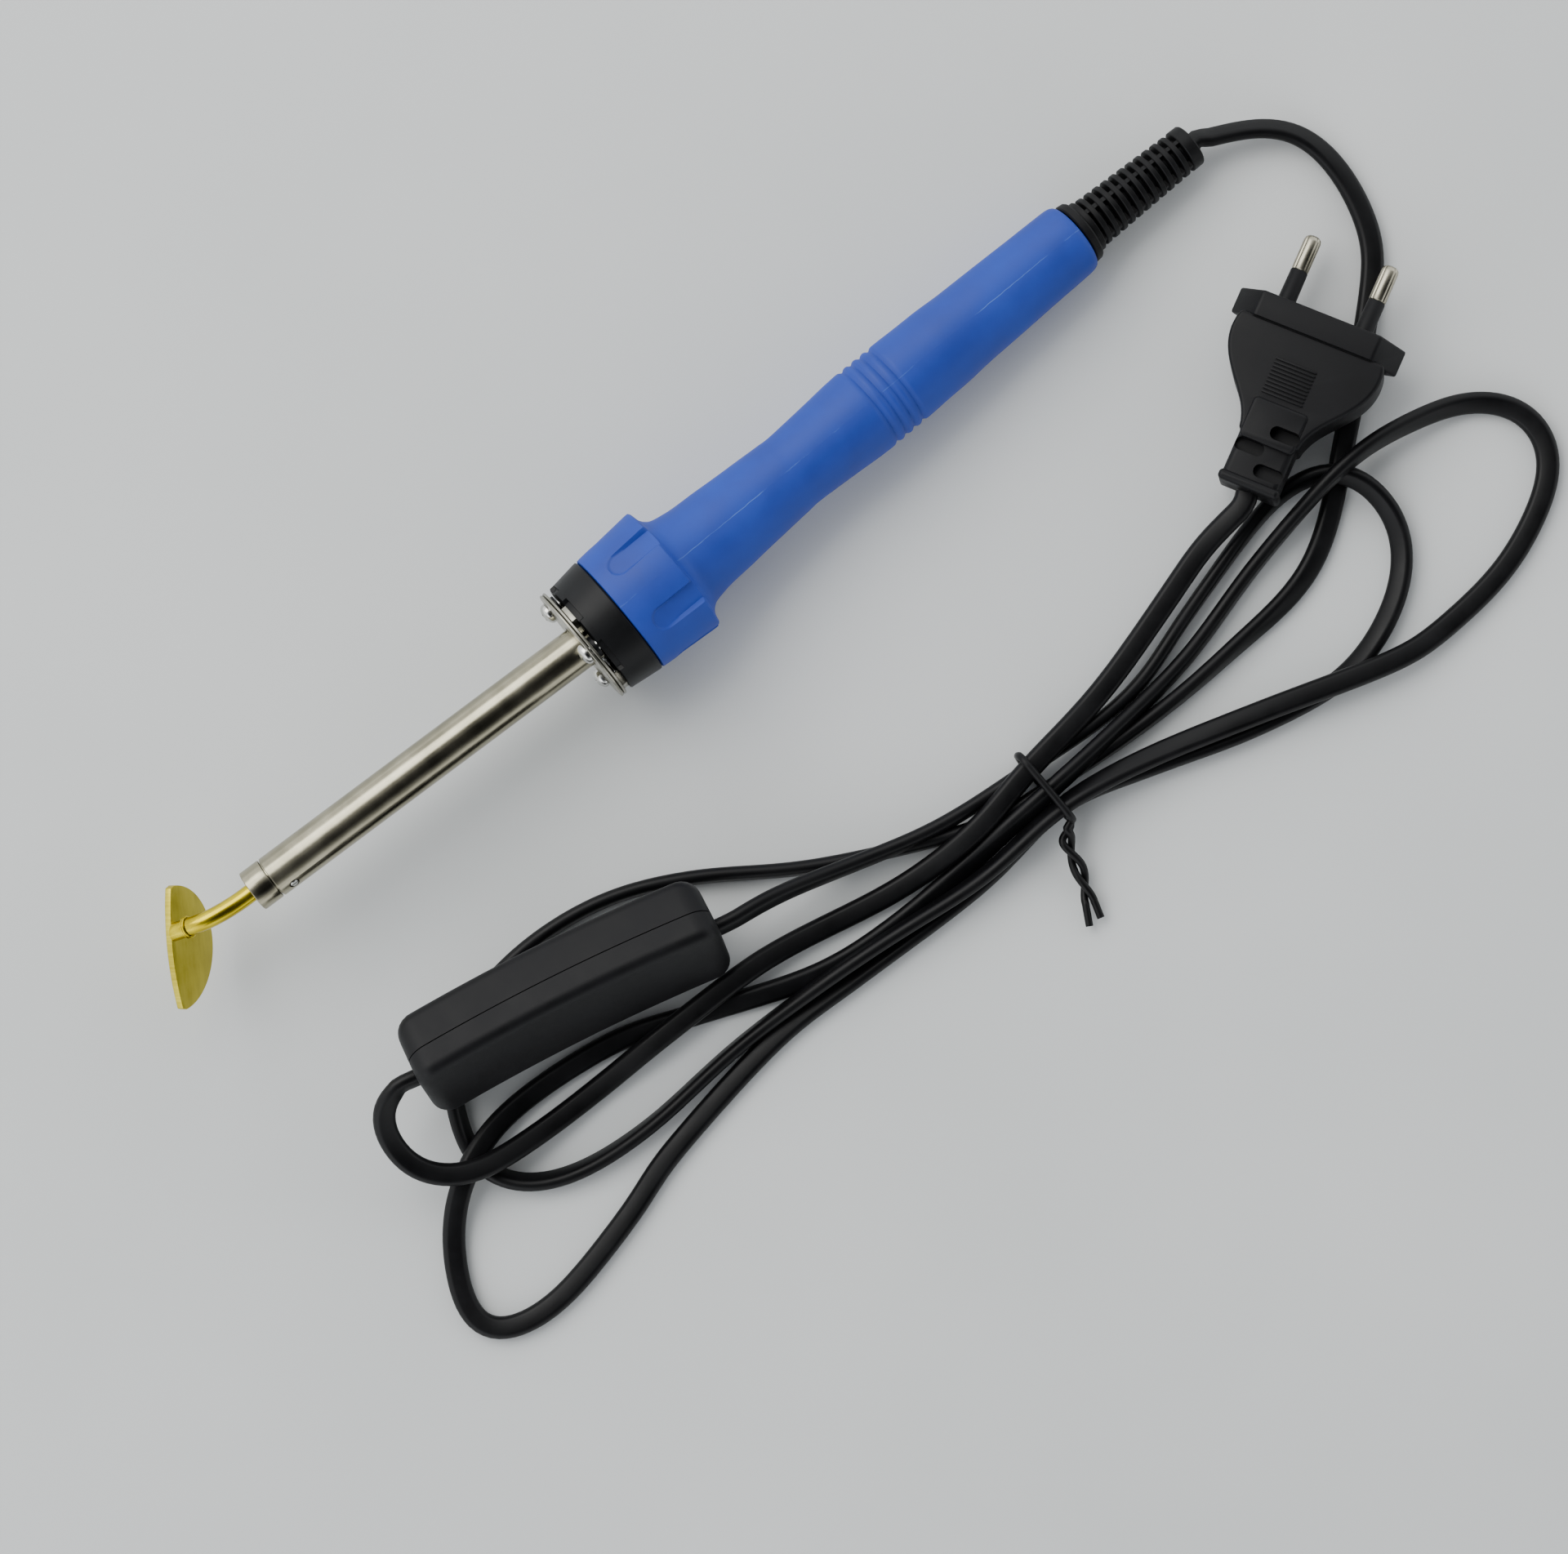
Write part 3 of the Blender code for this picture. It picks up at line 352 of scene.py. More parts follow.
# %% The handle's finish
def moulded_blue():
    mat, tree, shader = start_finish("moulded_blue_polypropylene", IOR=1.49, Roughness=0.52)
    where = local(tree)
    soft = {"Vector": where, "Scale": 70.0, "Detail": 5.0, "Roughness": 0.6}
    cloud = add_node(tree, "ShaderNodeTexNoise", soft)
    grain = add_node(tree, "ShaderNodeTexNoise", {"Vector": where, "Scale": 3200.0, "Detail": 2.0})
    base = ramp(tree, cloud.outputs["Fac"], [(0.30, "0F3392"), (0.52, "12399E"), (0.75, "1640A8")])
    split = add_node(tree, "ShaderNodeSeparateXYZ", {"Vector": where})
    wander = add_node(tree, "ShaderNodeTexNoise", {"Vector": where, "Scale": 420.0, "Detail": 4.0})
    drift = band(tree, wander.outputs["Fac"], 0.3, 0.7, -0.00010, 0.00010)
    off = add_node(tree, "ShaderNodeMath", {0: split.outputs["Y"], 1: drift}, operation="ADD")
    near = add_node(tree, "ShaderNodeMath", {0: off.outputs[0]}, operation="ABSOLUTE")
    line = band(tree, near.outputs[0], 0.00004, 0.00013, 1.0, 0.0)
    top = band(tree, split.outputs["Z"], 0.0, 0.004, 0.0, 1.0)
    broken = band(tree, cloud.outputs["Fac"], 0.46, 0.58, 0.0, 0.55)
    seam = add_node(tree, "ShaderNodeMath", {0: line, 1: top}, operation="MULTIPLY")
    seam = add_node(tree, "ShaderNodeMath", {0: seam.outputs[0], 1: broken}, operation="MULTIPLY")
    mixed = {0: seam.outputs[0], 6: base, 7: linear("5F86D0")}
    colour = add_node(tree, "ShaderNodeMix", mixed, data_type="RGBA")
    tree.links.new(colour.outputs[2], shader.inputs["Base Color"])
    tree.links.new(band(tree, cloud.outputs["Fac"], 0.3, 0.7, 0.54, 0.66), shader.inputs["Roughness"])
    bumped(tree, shader, grain.outputs["Fac"], 0.00002, 0.35)
    return mat


BLUE = moulded_blue()


# %% [markdown]
# ### The black parts
#
# Four different blacks. The collar is a hard phenolic moulding with a satin face. The boot and the cord are
# soft PVC, whose skin shows long soft highlights. The switch is ABS and the plug a duller PVC, both with a
# fine sparked grain and a little dust.


# %% Black plastics
def moulded_black(name, colours, roughness, grain_mm, depth, gloss=0.22):
    mat, tree, shader = start_finish(name, IOR=1.5, Specular_IOR_Level=gloss)
    where = local(tree)
    soft = {"Vector": where, "Scale": 120.0, "Detail": 6.0, "Roughness": 0.65}
    cloud = add_node(tree, "ShaderNodeTexNoise", soft)
    grain = add_node(tree, "ShaderNodeTexNoise", {"Vector": where, "Scale": 1000.0 / grain_mm, "Detail": 3.0})
    dark, mid, pale = colours
    colour = ramp(tree, cloud.outputs["Fac"], [(0.30, dark), (0.60, mid), (0.82, pale)])
    tree.links.new(colour, shader.inputs["Base Color"])
    low, high = roughness
    tree.links.new(band(tree, cloud.outputs["Fac"], 0.3, 0.75, low, high), shader.inputs["Roughness"])
    bumped(tree, shader, grain.outputs["Fac"], depth, 0.4)
    return mat


PHENOLIC = moulded_black("moulded_phenolic", ("0A0A0B", "0F1012", "18191B"), (0.38, 0.50), 0.5, 0.00002)
CORD_PVC = moulded_black("extruded_cord_pvc", ("050506", "08080A", "0E0E11"), (0.36, 0.50), 0.8, 0.00002)
BOOT_PVC = moulded_black("soft_boot_pvc", ("060607", "09090B", "101013"), (0.44, 0.58), 0.5, 0.00002)
SWITCH_ABS = moulded_black("sparked_abs", ("08080A", "0C0C0F", "141518"), (0.46, 0.58), 0.35, 0.00003)
PLUG_PVC = moulded_black("moulded_plug_pvc", ("060608", "09090C", "111215"), (0.46, 0.58), 0.35, 0.00003)
TIE_COAT = moulded_black("tie_wire_coating", ("050506", "08080A", "0E0E10"), (0.40, 0.52), 0.6, 0.00002)


# %% [markdown]
# ### Metals
#
# The barrel is nickel-plated steel tube, drawn lengthwise, so its fine scratches run along X and its
# highlights are long streaks. The blade is brass sheet, sanded flat and a little tarnished, with coarse
# marks across its cut edge. Metals keep the default IOR, and their colour is the base colour.


# %% Metals
def drawn_metal(name, colours, roughness, across=900.0, along=12.0, depth=0.000006, around=False):
    """Metal with fine lines along X, or around X when it was turned in a lathe."""
    mat, tree, shader = start_finish(name, Metallic=1.0)
    where = local(tree)
    stretch = (across, along, along) if around else (along, across, across)
    fine = add_node(tree, "ShaderNodeMapping", {"Vector": where, "Scale": stretch})
    lines = add_node(tree, "ShaderNodeTexNoise", {"Vector": fine.outputs[0], "Scale": 1.0, "Detail": 4.0})
    cloud = add_node(tree, "ShaderNodeTexNoise", {"Vector": where, "Scale": 160.0, "Detail": 5.0})
    dark, mid, pale = colours
    pair = {0: lines.outputs["Fac"], 1: cloud.outputs["Fac"]}
    both = add_node(tree, "ShaderNodeMath", pair, operation="ADD")
    half = add_node(tree, "ShaderNodeMath", {0: both.outputs[0], 1: 0.5}, operation="MULTIPLY")
    colour = ramp(tree, half.outputs[0], [(0.35, dark), (0.52, mid), (0.68, pale)])
    tree.links.new(colour, shader.inputs["Base Color"])
    low, high = roughness
    tree.links.new(band(tree, half.outputs[0], 0.35, 0.65, low, high), shader.inputs["Roughness"])
    bumped(tree, shader, lines.outputs["Fac"], depth, 0.5)
    return mat


NICKEL = drawn_metal("drawn_nickel_plated_steel", ("86826F", "A09B86", "B4AF9A"), (0.17, 0.26))
ZINC = drawn_metal("zinc_plated_sheet", ("8A887E", "A3A196", "B8B6AA"), (0.26, 0.42), 500.0, 200.0)
SCREW_ZINC = drawn_metal("bright_zinc_screw", ("B8B8B4", "CFCFCB", "E0E0DC"), (0.14, 0.24), 300.0, 300.0)
PIN_NICKEL = drawn_metal("nickel_plated_pin", ("8E8A7A", "A8A392", "BCB7A6"), (0.22, 0.34))
ROD_BRASS = drawn_metal("drawn_brass_rod", ("A89418", "C8B424", "DCC936"), (0.18, 0.30), 700.0, 60.0)
SHEET_BRASS = drawn_metal("sanded_brass_sheet", ("A89A2C", "BDAF3C", "CCBF4A"), (0.36, 0.50), 500.0, 90.0)
EDGE_BRASS = drawn_metal("sawn_brass_edge", ("A8982C", "C8B840", "E2D45C"), (0.26, 0.44), 1600.0, 30.0,
                         depth=0.00003, around=True)


# %% [markdown]
# ## The cord
#
# A flat twin cord is two round cores side by side in one skin. It is stiff across its width and limp across
# its thickness, so in a coil it stands on edge where it bends sideways and lies flat where it can. Each
# point of the route has its place and its turn: 0 lies flat, 90 stands on edge.

# %% The cord's route, leg by leg, in millimetres and degrees
FROM_BOOT = [(153, -3.6, 5.8, 45), (158.6, -6.1, 4.9, 45), (165.2, -10.5, 3.8, 40), (169.9, -17.3, 2.6, 30),
             (170.9, -28.5, 1.9, 15), (167.6, -41.8, 1.9, 5), (161, -51, 1.9, 0), (134, -74, 1.9, 0),
             (109, -92, 1.9, 20), (82, -95, 1.9, 60), (57, -95, 1.9, 75)]
PASS_1 = [(30, -92, 1.9, 80), (11, -88, 1.9, 80), (-21, -72, 1.9, 80), (-44, -56, 1.9, 80),
          (-63, -47, 1.9, 80), (-84, -44, 1.9, 80), (-104, -47, 1.9, 75)]
LEFT_LOOP_1 = [(-113, -53, 1.9, 70), (-122, -70, 1.9, 60), (-120, -82, 1.9, 60), (-108, -90, 1.9, 65),
               (-88, -93, 1.9, 75)]
PASS_2 = [(-62, -92, 2.0, 80), (-38, -93, 5.2, 80), (-18, -95, 5.7, 80), (6, -98, 5.8, 75),
          (30, -97, 5.8, 60), (51, -101, 5.8, 30), (79, -110, 5.8, 10), (108, -120, 5.0, 5),
          (121, -122, 3.0, 5)]
RIGHT_LOOP_1 = [(144, -120, 1.9, 5), (164, -110, 1.9, 10), (168, -97, 1.9, 20), (159, -86, 2.2, 35)]
PASS_3 = [(140, -80, 8.0, 55), (129, -79, 9.9, 70), (118, -80, 7.6, 75), (97, -84, 2.6, 75),
          (72, -90, 2.2, 70), (46, -92, 5.6, 60), (21, -93, 5.5, 45), (4, -94, 1.9, 30),
          (-17, -94, 1.9, 20), (-37, -91, 1.9, 15), (-64, -80, 1.9, 10), (-82, -73, 1.9, 10)]
LEFT_LOOP_2 = [(-109, -70, 2.6, 10), (-125, -74, 5.9, 10), (-138, -84, 1.9, 10), (-146, -99, 1.9, 10),
               (-143, -107, 1.9, 10), (-128, -110, 1.9, 10)]
PASS_4 = [(-102, -105, 1.9, 10), (-89, -101, 1.9, 10), (-53, -96, 1.9, 15), (-30, -97, 1.9, 30),
          (5, -99, 1.9, 50), (30, -97, 1.9, 65), (50, -103, 1.9, 60), (76, -112, 1.9, 50),
          (100, -116, 1.9, 40)]
RIGHT_LOOP_2 = [(120, -109, 1.9, 35), (130, -96, 2.2, 40), (127, -80, 5.9, 50), (112, -75, 2.4, 65)]
PASS_5 = [(81, -82, 1.9, 80), (58, -88, 1.9, 80), (30, -86, 1.9, 80), (6, -83, 5.2, 75), (-14, -77, 6.3, 70),
          (-25, -73.2, 9.6, 65), (-34, -70.5, 13.6, 60)]
FROM_SWITCH = [(-128, -50.5, 20.3, 30), (-132.5, -57, 15.5, 20), (-132.5, -67, 11.6, 10), (-124, -75, 9.9, 5)]
PASS_6 = [(-108, -78, 4.6, 0), (-89, -79, 2.4, 0), (-75, -79, 5.2, 0), (-49, -80, 5.2, 0), (-36, -82, 3.0, 0),
          (-10, -88, 2.4, 0), (11, -89, 5.8, 0), (29, -86, 5.8, 0), (54, -83, 5.6, 0), (81, -76, 5.2, 0),
          (92, -72.8, 6.6, 5)]
CORD_WIDTH = 5.2
CORD_THICK = 3.1
CORD_CLEAR = 0.00025
CORD_PASSES = 14
TIE_X = 0.030
TIE_REACH = 0.030
TIE_LIFT = 0.0020


def twin_section(width, thick, count=32):
    """Two touching circles in one skin, with a shallow groove between them."""
    radius = thick / 2
    shift = width / 2 - radius
    groove = math.acos(min(1.0, shift / radius * 0.62))
    points = []
    for k in range(count):
        angle = 2 * math.pi * (k + 0.5) / count
        side = math.copysign(shift, math.cos(angle))
        reach = math.atan2(abs(math.sin(angle)), abs(math.cos(angle))) / (math.pi / 2)
        turn = reach * (math.pi - groove) * 0.74
        across = side + math.copysign(radius * math.cos(turn), side)
        points.append((across, math.copysign(radius * math.sin(turn), math.sin(angle))))
    return points


def lay_cord(name, legs, start, end, step=1.6):
    """The cord's centreline in metres, on the table and lifted in the tie, and the way its width faces."""
    knots = list(start)
    for leg in legs:
        knots += [Vector((x * MM, y * MM, z * MM, math.radians(t) * MM)) for x, y, z, t in leg]
    knots += list(end)
    raw = eased(even(smooth_curve(knots, 14), step * MM), CORD_PASSES)
    line, turns, lowest = [], [], []
    for p in raw:
        turn = p[3] / MM
        rest = math.hypot(CORD_THICK / 2 * math.cos(turn), CORD_WIDTH / 2 * math.sin(turn)) * MM
        reach = min(1.0, abs(p.x - TIE_X) / TIE_REACH)
        lift = TIE_LIFT * (1 - reach * reach) ** 2
        lowest.append(rest + CORD_CLEAR)
        line.append(Vector((p.x, p.y, max(p.z, lowest[-1]) + lift)))
        turns.append(turn)
    for _ in range(6):
        inner = [(a.z + b.z * 2 + c.z) / 4 for a, b, c in zip(line, line[1:], line[2:])]
        for p, z in zip(line[1:-1], inner):
            p.z = z if z > p.z else (z + p.z) / 2
    for p, low in zip(line, lowest):
        p.z = max(p.z, low)
    sides = []
    for i, p in enumerate(line):
        ahead = (line[min(i + 1, len(line) - 1)] - line[max(i - 1, 0)]).normalized()
        flat = ahead.cross(Vector((0, 0, 1))).normalized()
        up = flat.cross(ahead)
        sides.append(flat * math.cos(turns[i]) + up * math.sin(turns[i]))
    print(name, "length in m:", round(line_length(line), 3))
    return line, sides


def eased(points, passes):
    """Smooth out small kinks. The first and last four points stay where they are."""
    line = [p.copy() for p in points]
    for _ in range(passes):
        middle = [(a + b * 2 + c) / 4 for a, b, c in zip(line[3:], line[4:-4], line[5:])]
        line[4:-4] = middle
    return line


def exit_knots(matrix, x, reach, turn):
    """Two knots straight out of a face across a frame's X axis."""
    way = 1 if reach > 0 else -1
    pair = [matrix @ Vector((x * MM + way * 0.0001, 0, 0)), matrix @ Vector((x * MM + reach * MM, 0, 0))]
    return [Vector((*p, math.radians(turn) * MM)) for p in pair]


# %% Sweep the two lengths of cord
SPLIT = Matrix.Translation((0, 0, -0.0013))
BOOT_EXIT = exit_knots(BOOT, 33.5, 2.0, 50)
SWITCH_RIGHT = exit_knots(SWITCH @ SPLIT, -SWITCH_HALF, -5.0, 64)
SWITCH_LEFT = exit_knots(SWITCH @ SPLIT, SWITCH_HALF, 5.0, 64)
PLUG_TAIL = exit_knots(PLUG, -39.2, -4.0, 12)
TOOL_LEGS = [FROM_BOOT, PASS_1, LEFT_LOOP_1, PASS_2, RIGHT_LOOP_1, PASS_3, LEFT_LOOP_2, PASS_4, RIGHT_LOOP_2,
             PASS_5]
TWIN = twin_section(CORD_WIDTH, CORD_THICK)

tool_line, tool_sides = lay_cord("tool side", TOOL_LEGS, BOOT_EXIT, SWITCH_RIGHT[::-1])
tool_cord = finished(swept("flat_cord_to_switch", tool_line, tool_sides, TWIN), CORD_PVC,
                     stands_for=["cord_tool_side"])
plug_line, plug_sides = lay_cord("plug side", [FROM_SWITCH, PASS_6], SWITCH_LEFT, PLUG_TAIL[::-1])
plug_cord = finished(swept("flat_cord_to_plug", plug_line, plug_sides, TWIN), CORD_PVC,
                     stands_for=["cord_plug_side"])

# %% [markdown]
# ## The tie
#
# One wire with a black coat goes round the bundle. Its ends are twisted together twice and cut off.

# %% The tie wire
TIE_RADIUS = 0.88


def tie_loop_line():
    low, high, y0, y1, corner = 0.98, 11.1, -100.8, -82.2, 3.0
    loop = arc((y1 - corner, low + corner), corner, -90, 0, 9)
    loop += arc((y1 - corner, high - corner), corner, 0, 90, 9)
    loop += arc((y0 + corner, high - corner), corner, 90, 180, 9)
    loop += arc((y0 + corner, low + corner), corner, 180, 270, 9)
    return [Vector((TIE_X, y * MM, z * MM)) for y, z in loop]


loop_line = tie_loop_line()
tie_section = circle(TIE_RADIUS, 14)
tie_loop = swept("tie_wire_loop", loop_line, [Vector((1, 0, 0))] * len(loop_line), tie_section, closed=True)
finished(tie_loop, TIE_COAT, stands_for=["tie_loop"])

tips = (Vector((0.0210, -0.1224, 0.0023)), Vector((0.0178, -0.1222, 0.0023)))
spots = [(28.2, -101.8, 6.6), (25.8, -104.6, 4.9), (24.2, -110.7, 3.2), (21.7, -117.2, 2.4)]
spine = smooth_curve([Vector(p) * MM for p in spots] + [(tips[0] + tips[1]) / 2], 10)[:-8]
for number, phase, height in ((1, 0.0, 7.4), (2, math.pi, 4.0)):
    tail = [Vector((0.0300, -0.1008, height * MM))]
    for i, point in enumerate(spine):
        angle = phase + math.radians(15 * (len(spine) - 1 - i))
        twist = Vector((0.98 * math.cos(angle), -0.40 * math.cos(angle), 0.9 * math.sin(angle)))
        tail.append(point + twist * MM)
    tail = smooth_curve(tail + [tips[number - 1]], 2)
    piece = swept(f"tie_wire_tail_{number}", tail, [Vector((0, 0, 1))] * len(tail), tie_section)
    finished(piece, TIE_COAT, stands_for=[f"tie_tail_{number}"])

# %% [markdown]
# ## The handle
#
# The handle is one hollow moulding: a fluted ring that keeps the fingers off the heat, a waisted neck, and
# four fine grooves. A turned mesh can do all of it if the radius also changes with the angle, so the six
# flutes are written as a change of radius: a flat floor inside a rounded outline, with a soft wall.

# %% Handle
RING = [(11.25, 14.7), (11.45, 15.05), (12.5, 15.16), (25.9, 16.12), (26.6, 16.10), (26.95, 15.7)]
FILLET = [(27.05, 15.2), (27.3, 14.2), (27.8, 13.1), (28.6, 12.2), (29.8, 11.5)]
NECK = [(32.5, 10.95), (35.4, 10.6), (41.2, 10.3), (46.0, 9.95), (52.9, 9.55), (58.7, 9.2), (61.6, 9.05),
        (67.4, 9.35), (73.2, 9.7), (79.0, 10.1), (84.8, 10.27), (93.5, 10.13), (99.3, 9.95), (105.0, 9.85),
        (110.9, 9.5), (116.7, 9.35), (122.5, 9.2), (131.3, 8.95), (138.0, 8.8), (141.5, 8.7), (142.9, 8.5),
        (143.7, 8.1), (144.0, 7.5)]
BORE = [(144.0, 4.5), (119.0, 4.5), (118.0, 6.5), (21.5, 6.5), (19.5, 13.3), (11.25, 13.3)]
FLUTE_HALF = 2.85
FLUTE_START = 14.8
FLUTE_FLOOR = 14.75
FLUTE_EDGE = 0.38
GROOVES = 4
GROOVE_FIRST = 83.7
GROOVE_PITCH = 2.5
GROOVE_SIZE = 0.62
SEAM_HEIGHT = 0.022
SEAM_HALF = 0.14


def profile_between(points, step):
    line = smooth_curve([Vector((x, r, 0)) for x, r in points], 8)
    return [(p.x, p.y) for p in even(line, step)]


def ease(t):
    t = min(1.0, max(0.0, t))
    return t * t * (3 - 2 * t)


def handle_radius(x, angle, radius):
    if FLUTE_START - 1 < x < 27.2 and radius > 14:
        pitch = math.pi / 3
        off = (angle - math.pi / 2) % pitch - pitch / 2
        across = radius * math.sin(off)
        nose = FLUTE_START + FLUTE_HALF
        inside = FLUTE_HALF - (abs(across) if x > nose else math.hypot(across, x - nose))
        floor = min(radius, FLUTE_FLOOR / math.cos(off) + 0.04 * max(0.0, 20 - x))
        radius += (floor - radius) * ease((inside + 0.10) / FLUTE_EDGE)
    for k in range(GROOVES):
        off = (x - GROOVE_FIRST - GROOVE_PITCH * k) / GROOVE_SIZE
        radius -= GROOVE_SIZE * math.exp(-off * off)
    side = abs(radius * math.cos(angle))
    if math.sin(angle) > 0 and side < 0.5:
        uneven = 0.5 + 0.5 * math.sin(x * 1.7) * math.sin(x * 0.53)
        radius += SEAM_HEIGHT * math.exp(-((side / SEAM_HALF) ** 2)) * uneven
    return radius


def outer_only(x, angle, radius):
    """The bore keeps its own radius."""
    return radius if (x, radius) in BORE else handle_radius(x, angle, radius)


body_profile = profile_between(RING[2:4], 0.28)
neck_profile = profile_between(FILLET + NECK, 0.42)
outside = RING[:2] + body_profile + RING[4:] + neck_profile
handle = turned("handle_moulding", outside + BORE, TOOL, 360, closed=True, swell=outer_only, sharp=40)
finished(handle, BLUE, stands_for=["handle"])
print("handle points:", len(handle.data.vertices))

# %% [markdown]
# ## Collar and flange
#
# The black collar carries the flange: two round steel plates held by three pan head screws. Small notches
# in the collar's front edge and two bent steel lugs show in the gap behind the plates.

# %% Collar
NOTCHES = [(118, 17), (62, 13), (200, 20), (20, 12), (300, 20)]


def collar_radius(x, angle, radius):
    if x < 3.95 and radius > 12.5:
        for centre, half in NOTCHES:
            off = (math.degrees(angle) - centre + 180) % 360 - 180
            if abs(off) < half:
                return 12.6 + 0.2 * x
    return radius


collar_outside = [(2.7, 13.8), (2.9, 14.15), (3.5, 14.2), (3.93, 14.23), (3.97, 14.23), (6.0, 14.5),
                  (10.2, 15.03), (10.75, 15.05), (11.0, 14.8), (11.0, 13.0), (17.0, 13.0), (17.0, 11.2)]
collar_inside = [(7.2, 11.2), (7.2, 6.4), (2.7, 6.4)]
collar_profile = collar_outside + collar_inside
collar = turned("collar_moulding", collar_profile, TOOL, segments=180, closed=True, swell=collar_radius)
finished(collar, PHENOLIC, stands_for=["collar"])


# %% Flange plates, lugs and spacers
def plate_profile(x0):
    return [(x0, 5.3), (x0 + 0.6, 5.3), (x0 + 0.6, 14.1), (x0 + 0.45, 14.28), (x0 + 0.15, 14.3), (x0, 14.15)]


def plate_wobble(x, angle, radius):
    return radius + (0.05 * math.sin(3 * angle) + 0.03 * math.sin(7 * angle + x)) * (radius > 14)


for side, x0 in (("front", 0.0), ("rear", 0.8)):
    sheet = turned(f"flange_{side}_sheet", plate_profile(x0), TOOL, 144, closed=True, swell=plate_wobble)
    finished(sheet, ZINC, stands_for=[f"flange_plate_{side}"])

for number, (angle, half) in enumerate([(61, 9.5), (172, 8.5)], 1):
    a = math.radians(angle)
    lug = slab(f"flange_lug_{number}", [(1.45, -2.2), (2.75, -2.2), (2.75, 2.2), (1.45, 2.2)], 9.6, 13.2,
               TOOL @ Matrix.Rotation(a - math.pi / 2, 4, "X"), bevel=0.15)
    finished(lug, ZINC)

# %% Screws and spacer washers
BOLT_ANGLES = (75.6, 195.6, 315.6)
BOLT_CIRCLE = 10.8
WASHER = [(0, 1.7), (0.9, 1.7), (0.9, 2.6), (0, 2.6)]
RECESS = [(-2.3, -1.45), (-0.95, -0.9), (-0.95, 0.9), (-2.3, 1.45)]
HEAD = [(5.5, 0), (5.5, 1.4), (0.0, 1.4), (-0.05, 2.25), (-0.2, 2.4), (-0.75, 2.4), (-1.2, 2.15), (-1.6, 1.6),
        (-1.85, 0.9), (-1.95, 0)]
for number, angle in enumerate(BOLT_ANGLES, 1):
    a = math.radians(angle)
    around = (-BOLT_CIRCLE * MM * math.cos(a), BOLT_CIRCLE * MM * math.sin(a))
    place = TOOL @ Matrix.Translation((-0.0001, *around)) @ Matrix.Rotation(a * 1.7, 4, "X")
    screw = turned(f"pan_head_screw_{number}", HEAD, place, segments=48)
    cross = [slab(f"recess_{turn}", RECESS, -0.27, 0.27, place @ Matrix.Rotation(math.radians(turn), 4, "X"))
             for turn in (0, 90)]
    cut(screw, *cross)
    finished(screw, SCREW_ZINC, stands_for=[f"flange_screw_{number}"])
    washer_place = TOOL @ Matrix.Translation((0.0015, *around))
    washer = turned(f"spacer_ring_{number}", WASHER, washer_place, segments=32, closed=True)
    finished(washer, PHENOLIC, stands_for=[f"spacer_washer_{number}"])

# %% [markdown]
# ## Barrel, end bush and set screw
#
# The barrel is thin drawn tube. The bush plugs its end and is held by one tiny screw, so a fine dark seam
# and a small round pit are all that shows of the joint.

# %% Barrel and bush
BARREL_PROFILE = [(-84.7, 4.45), (8.5, 4.45), (8.5, 4.92), (-84.45, 4.92), (-84.62, 4.86), (-84.7, 4.74)]
barrel = turned("barrel_sheath", BARREL_PROFILE, BARREL, segments=128, closed=True)
pit_place = BARREL @ Matrix.Translation((-0.0813, 0, 0)) @ Matrix.Rotation(math.radians(-30), 4, "X")
pit_place = pit_place @ Matrix.Rotation(-math.pi / 2, 4, "Z")
pit = turned("pit", [(3.5, 0), (3.5, 1.2), (6.0, 1.2), (6.0, 0)], pit_place, segments=32)
cut(barrel, pit)
finished(barrel, NICKEL, stands_for=["barrel_tube"])

SET_SCREW = [(4.42, 0), (4.42, 0.9), (4.85, 0.9), (4.98, 0.75), (4.98, 0)]
set_screw = turned("slotted_set_screw", SET_SCREW, pit_place, segments=32)
slot_tool = slab("slot", [(4.75, -1.2), (5.3, -1.2), (5.3, 1.2), (4.75, 1.2)], -0.15, 0.15, pit_place)
cut(set_screw, slot_tool)
finished(set_screw, SCREW_ZINC, body="set_screw", stands_for=["set_screw"])

BUSH_PROFILE = [(-75.0, 2.35), (-75.0, 4.12), (-85.0, 4.12), (-85.0, 4.72), (-85.08, 4.86), (-85.25, 4.92),
                (-89.7, 4.92), (-89.9, 4.84), (-90.0, 4.66), (-90.0, 2.6), (-89.75, 2.35)]
bush = turned("turned_end_bush", BUSH_PROFILE, BARREL, segments=128, closed=True)
finished(bush, NICKEL, body="bush", stands_for=["end_bush"])

# %% [markdown]
# ## The brass bit
#
# A bent brass rod carries the blade. The rod is one sweep of a circle along a curve that starts on the
# barrel's axis and ends square to the blade. The blade is a half moon sawn from sheet: sanded faces, and an
# edge that shows the marks of the saw.

# %% Rod and braze ring
ROD_END = Vector((-0.10838, 0.00315, -0.00321))
BLADE_CENTRE = Vector((-0.11154, 0.00055, -0.00497))
TO_BARREL = BARREL.to_3x3().inverted()
AHEAD = (TO_BARREL @ Vector((-0.72, 0.565, -0.40)).normalized()).normalized()
EDGE = (TO_BARREL @ Vector((-0.575, -0.807, -0.126)).normalized()).normalized()
ROD_LEAN = math.radians(15)
ALONG = (AHEAD * math.cos(ROD_LEAN) + EDGE * math.sin(ROD_LEAN)).normalized()
ROD_PULL = 0.0050
ROD_STUB = 0.0038
ROD_FACETS = 48
BLADE_HALF_THICK = 0.00075


def bezier(a, b, c, d, count):
    spots = [k / (count - 1) for k in range(count)]
    return [a * (1 - t) ** 3 + b * 3 * t * (1 - t) ** 2 + c * 3 * t * t * (1 - t) + d * t**3 for t in spots]


